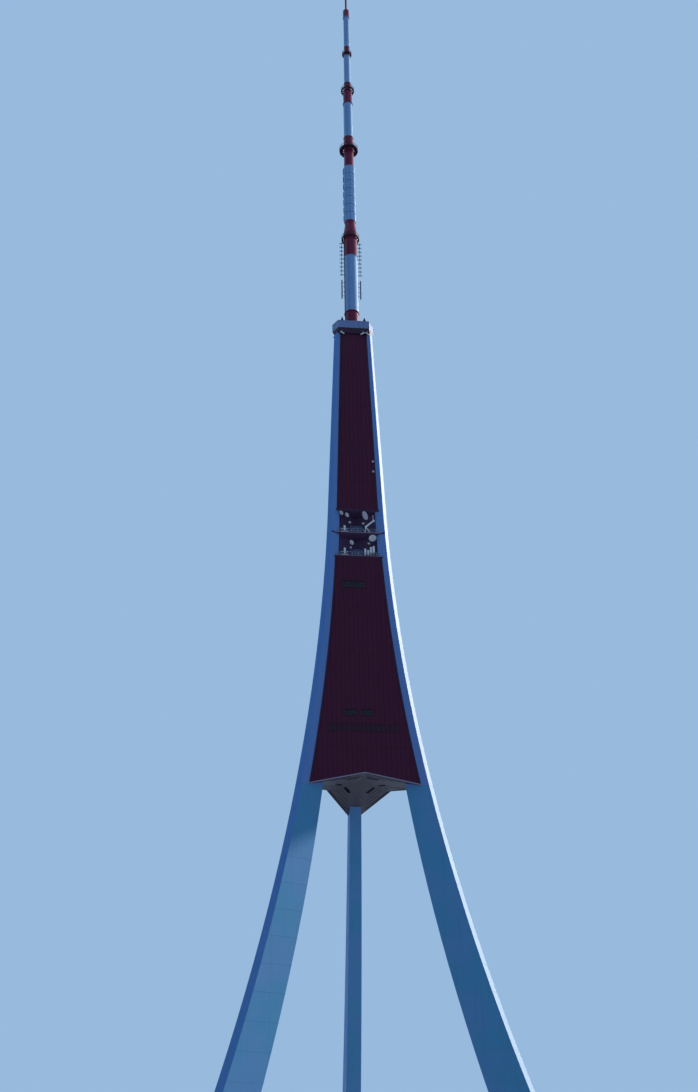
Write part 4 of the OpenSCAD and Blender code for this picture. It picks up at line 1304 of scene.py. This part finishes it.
class TOWER_OT_mast_flanges(Operator):
    """Adds the bolted flanges between the mast's tubes"""

    bl_idname = "tower.mast_flanges"
    bl_label = "Mast flanges"

    def execute(self, context):
        tubes = ["mast_drum", "mast_tube_white_low", "mast_tube_red_low", "mast_panel_antenna",
                 "mast_tube_red_mid", "mast_tube_white_mid", "mast_tube_red_high",
                 "mast_tube_white_high", "mast_tube_red_top", "mast_top_antenna", "mast_cap"]
        narrow_tops = {"mast_tube_red_low": 0.155, "mast_tube_red_high": 0.105}
        halves = {"red": [], "white": []}
        bolts = []
        for below, above in zip(tubes, tubes[1:]):
            height = foot(above)
            radius = max(narrow_tops.get(below) or tube_radius(below), tube_radius(above))
            for node, low, high in ((below, height - 0.012, height - 0.001),
                                    (above, height + 0.001, height + 0.012)):
                tint = "red" if finish("mast_red") == frame["nodes"][node].active_material else "white"
                halves[tint].append(self.flange(radius, low, high))
            bolts.append(self.bolts(radius + sizes().flange * 0.55, height))
        for tint, parts in halves.items():
            fitted(joined(f"flanges_{tint}", parts, around(0)), f"mast_{tint}")
        fitted(joined("flange_bolts", bolts), "galvanised_steel")
        return {"FINISHED"}

    def flange(self, radius, low, high):
        """A ring with softened outer edges round a tube."""
        inner, outer, soft = radius - 0.004, radius + sizes().flange, 0.0025
        return turned("flange", [(inner, low), (outer - soft, low), (outer, low + soft),
                                 (outer, high - soft), (outer - soft, high), (inner, high)])

    def bolts(self, radius, height):
        """Bolts with heads over and under a pair of flanges."""
        reach, count = 0.018, 24
        bolt = bar("bolts", (radius, 0, height - reach), (radius, 0, height + reach), sizes().bolt, 6)
        return repeated(bolt, [around(i * 360 / count) for i in range(count)])


class TOWER_OT_mast_ladder(Operator):
    """Adds the ladder and the cables on the mast"""

    bl_idname = "tower.mast_ladder"
    bl_label = "Mast ladder"

    def execute(self, context):
        ladder_bearing, cable_bearing = 244, 196
        lowest = top("platform_lowest")
        # Foot and top of the ladder on each tube.
        runs = {
            "mast_drum": (top("roof_deck"), top("mast_drum") - 0.02),
            "mast_tube_white_low": (top("mast_drum"), top("mast_tube_white_low")),
            "mast_tube_red_low": (top("mast_tube_white_low"), lowest + 0.06),
            "mast_tube_red_mid": (foot("mast_tube_red_mid") + 0.02, top("mast_tube_red_mid") - 0.01),
            "mast_tube_white_mid": (foot("mast_tube_white_mid") + 0.02, top("mast_tube_white_mid")),
            "mast_tube_red_high": (top("mast_tube_white_mid") + 0.01, foot("platform_upper") + 0.02),
            "mast_tube_white_high": (foot("mast_tube_white_high") + 0.02,
                                     top("mast_tube_white_high") - 0.02),
        }
        ladders, cables = {"mast_red": [], "mast_white": []}, []
        for node, (low, high) in runs.items():
            radius = tube_radius(node)
            ladders["mast_white" if "white" in node else "mast_red"].append(self.run(radius, low, high))
            if high < lowest + 0.1:
                cables.append(self.cables(radius, low + 0.01, high - 0.01))
        for tint, parts in ladders.items():
            fitted(joined(f"ladder_{tint}", parts, around(ladder_bearing)), tint)
        fitted(joined("mast_cables", cables, around(cable_bearing)), "dark_metal", "galvanised_steel")
        return {"FINISHED"}

    def run(self, radius, low, high):
        """Two rails with rungs between them, held off the tube by brackets."""
        half, pitch = sizes().ladder_width / 2, sizes().rung_pitch
        middle = radius + 0.015
        parts = [block("rail", (middle - 0.004, side * half - 0.0015, low),
                       (middle + 0.004, side * half + 0.0015, high)) for side in (-1, 1)]
        rung = bar("rung", (middle, -half, low + pitch / 2), (middle, half, low + pitch / 2), 0.004, 6)
        parts.append(repeated(rung, [shift(0, 0, i * pitch) for i in range(int((high - low) / pitch))]))
        bracket = joined("bracket", [
            block("foot", (radius - 0.004, side * half - 0.004, -0.004),
                  (middle - 0.003, side * half + 0.004, 0.004), 0.001) for side in (-1, 1)])
        return joined("mast_ladder", [*parts, spread(bracket, low, high, 0.4)])

    def cables(self, radius, low, high):
        """Three cables side by side in clips."""
        middle = radius + 0.006
        parts = [bar("cable", (middle, side * 0.011, low), (middle, side * 0.011, high), 0.010, 8)
                 for side in (-1, 0, 1)]
        clip = block("clip", (radius - 0.003, -0.020, -0.004), (radius + 0.013, 0.020, 0.004), 0.002)
        return joined("mast_cables", [*parts, spread(clip, low, high, 0.2)])


class TOWER_OT_radomes(Operator):
    """Adds the panels round the two big antennas of the mast, and the feeders of the lower one"""

    bl_idname = "tower.radomes"
    bl_label = "Antenna panels"

    def execute(self, context):
        # Node, bays, gap between them, distance of the panels, their depth and share of the width.
        for node, bays, gap, inner, proud, share in (
                ("mast_panel_antenna", 7, 0.012, 0.157, 0.009, 0.9),
                ("mast_top_antenna", 5, 0.011, 0.0795, 0.005, 0.86)):
            heights, rise = self.bays(node, bays)
            width = 2 * inner * math.tan(math.radians(22.5)) * share
            panel = self.panel(node.replace("mast_", "") + "_panels", inner, proud, width, rise - 2 * gap)
            fitted(repeated(panel, [around(22.5 + 45 * i) @ shift(0, 0, height)
                                    for i in range(8) for height in heights]), "mast_white")
        self.feeders("mast_panel_antenna", 7)
        return {"FINISHED"}

    def bays(self, node, count):
        """Heights of the middles of an antenna's bays, and the rise of one."""
        rise = (top(node) - foot(node)) / count
        return [foot(node) + (bay + 0.5) * rise for bay in range(count)], rise

    def feeders(self, node, bays):
        """Divider boxes and their conduit along a corner of an antenna."""
        heights, rise = self.bays(node, bays)
        radius = radius_of(node)
        box = block("feeders", (radius - 0.006, -0.020, -rise * 0.3), (radius + 0.016, 0.020, rise * 0.3))
        with edited(box, outward):
            bpy.ops.mesh.inset(thickness=0.004)
            extrude(0.003, 0, 0)
        boxes = repeated(bevelled(box, 0.0015), [shift(0, 0, height) for height in heights])
        line = radius + 0.003
        conduit = bar("conduit", (line, 0, foot(node) + 0.02), (line, 0, top(node) - 0.02), 0.012, 10)
        feeders = joined("antenna_feeders", [boxes, bevelled(conduit, 0.002)], around(180))
        fitted(feeders, "dark_metal", "antenna_grey")

    def panel(self, name, inner, proud, width, rise):
        """One panel with a raised middle in three fields."""
        panel = block(name, (inner - 0.002, -width / 2, -rise / 2), (inner + proud, width / 2, rise / 2))
        cut_strips(panel, [(UP, 0)], rise / 3)
        with edited(panel, outward):
            bpy.ops.mesh.inset(thickness=width * 0.07, use_individual=True)
            extrude(proud * 0.4, 0, 0)
        return bevelled(panel, proud * 0.15)


class TOWER_OT_platform_decks(Operator):
    """Adds ribbed floor plates and toe boards to the mast's platforms"""

    bl_idname = "tower.platform_decks"
    bl_label = "Platform decks"

    def execute(self, context):
        rail_height, count = 0.095, sizes().deck_ribs
        tubes = {"platform_lowest": "mast_tube_red_low", "platform_middle": "mast_panel_antenna",
                 "platform_upper": "mast_tube_red_high", "platform_highest": "mast_tube_red_top"}
        for node, tube in tubes.items():
            deck, outer = top(node) - rail_height, radius_of(node)
            start, end = tube_radius(tube) + 0.026, outer - 0.009
            rib = block("rib", (start + 0.002, -0.0015, deck - 0.004), (end - 0.002, 0.0015, deck + 0.003))
            ribs = repeated(rib, [turn(i * 360 / count, "Z") for i in range(count)])
            plate = turned("plate", [(start, deck + 0.002), (end, deck + 0.002), (end, deck + 0.004),
                                     (end - 0.001, deck + 0.005), (start + 0.001, deck + 0.005),
                                     (start, deck + 0.004)])
            toe_board = turned("toe_board", [(outer - 0.0075, deck), (outer - 0.006, deck),
                                             (outer - 0.006, deck + 0.016), (outer - 0.0075, deck + 0.016)])
            name = node.replace("platform", "deck_plate")
            fitted(joined(name, [ribs, plate, toe_board], around(0)), "dark_red", "mast_red")
        return {"FINISHED"}


def tube_arm(reach, height, width, half_plate):
    """An arm on the lowest white tube, with its plate."""
    start = radius_of("mast_tube_white_low") - 0.003
    return [bar("arm", (start, 0, height), (reach, 0, height), width, 10),
            block("plate", (start, -0.016, height - half_plate),
                  (start + 0.008, 0.016, height + half_plate), 0.002)]


class TOWER_OT_dipoles(Operator):
    """Replaces the plain dipole rows by rods on uprights with clamps"""

    bl_idname = "tower.dipoles"
    bl_label = "Dipole rows"

    def execute(self, context):
        low, high = foot("dipole_rows"), top("dipole_rows")
        count, pitch, level = 9, 0.15, 0.008
        distance = radius_of("mast_tube_white_low") + 0.07
        upright = bevelled(bar("dipole_rods", (distance, 0, low), (distance, 0, high), 0.014, 12), 0.002)
        elements = [bar("element", (distance + x, -half, level), (distance + x, half, level), 0.007, 8)
                    for x, half in ((-0.045, 0.046), (-0.015, 0.042), (0.018, 0.038), (0.048, 0.034))]
        boom = bar("rod", (distance - 0.055, 0, level), (distance + 0.055, 0, level), 0.014, 10)
        hub = block("hub", (distance - 0.012, -0.012, -0.002), (distance + 0.012, 0.012, 0.018))
        rod = joined("rod", [bevelled(piece, 0.002) for piece in (boom, hub, *elements)])
        rods = repeated(rod, [shift(0, 0, low + i * pitch) for i in range(count)])
        arm = joined("arm", tube_arm(distance, level, 0.012, 0.018))
        arms = repeated(arm, [shift(0, 0, low + i * pitch) for i in (0, 4, count - 1)])
        rows = repeated(joined("dipole_rods", [upright, rods, arms]), [around(0), around(180)])
        fitted(rows, "antenna_grey")
        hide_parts("dipole_rows")
        return {"FINISHED"}


class TOWER_OT_side_panels(Operator):
    """Replaces the plain side panels by rounded covers on brackets"""

    bl_idname = "tower.side_panels"
    bl_label = "Side panels"

    def execute(self, context):
        rise, gap = 0.30, 0.04
        distance = radius_of("mast_tube_white_low") + 0.07
        parts = [rounded_cover("side_panel_covers", (distance - 0.015, -0.035, 0),
                               (distance + 0.015, 0.035, rise), 0.004, 0.002, 0.006)]
        for share in (0.25, 0.75):
            parts += tube_arm(distance - 0.014, rise * share + 0.006, 0.010, 0.016)
        covers = repeated(joined("side_panel_covers", parts), [
            around(side) @ shift(0, 0, foot("side_panels") + level * (rise + gap))
            for side in (0, 180) for level in (0, 1)])
        fitted(covers, "antenna_grey")
        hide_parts("side_panels")
        return {"FINISHED"}


OPERATORS = (
    TOWER_OT_stage, TOWER_OT_packed_finishes, TOWER_OT_leg_welds, TOWER_OT_cladding_seams,
    TOWER_OT_painted_shadow_strips, TOWER_OT_windows, TOWER_OT_soffit_louvres, TOWER_OT_deck_trims,
    TOWER_OT_dish_fittings, TOWER_OT_cabinets, TOWER_OT_deck_antennas, TOWER_OT_davit_fittings,
    TOWER_OT_crown_trims, TOWER_OT_crown_lamps, TOWER_OT_mast_flanges, TOWER_OT_mast_ladder,
    TOWER_OT_radomes, TOWER_OT_platform_decks, TOWER_OT_dipoles, TOWER_OT_side_panels,
)


class VIEW3D_PT_tower(Panel):
    """Lists the tower's pieces"""

    bl_label = "Radio tower"
    bl_space_type = "VIEW_3D"
    bl_region_type = "UI"
    bl_category = "Tower"

    def draw(self, context):
        for operator in OPERATORS:
            self.layout.operator(operator.bl_idname)
        for settings in (context.scene.tower_colours, context.scene.tower_sizes,
                         context.scene.stage_settings):
            for name in settings.bl_rna.properties.keys():
                if name not in ("rna_type", "name"):
                    self.layout.prop(settings, name)


CLASSES = (TowerColours, TowerSizes, StageSettings, *OPERATORS, VIEW3D_PT_tower)


def register():
    for cls in CLASSES:
        bpy.utils.register_class(cls)
    bpy.types.Scene.tower_colours = PointerProperty(type=TowerColours)
    bpy.types.Scene.tower_sizes = PointerProperty(type=TowerSizes)
    bpy.types.Scene.stage_settings = PointerProperty(type=StageSettings)


def unregister():
    del bpy.types.Scene.stage_settings
    del bpy.types.Scene.tower_sizes
    del bpy.types.Scene.tower_colours
    for cls in reversed(CLASSES):
        bpy.utils.unregister_class(cls)


def main():
    """Builds everything in order."""
    register()
    for operator in OPERATORS:
        group, name = operator.bl_idname.split(".")
        getattr(getattr(bpy.ops, group), name)()


if __name__ == "__main__":
    main()
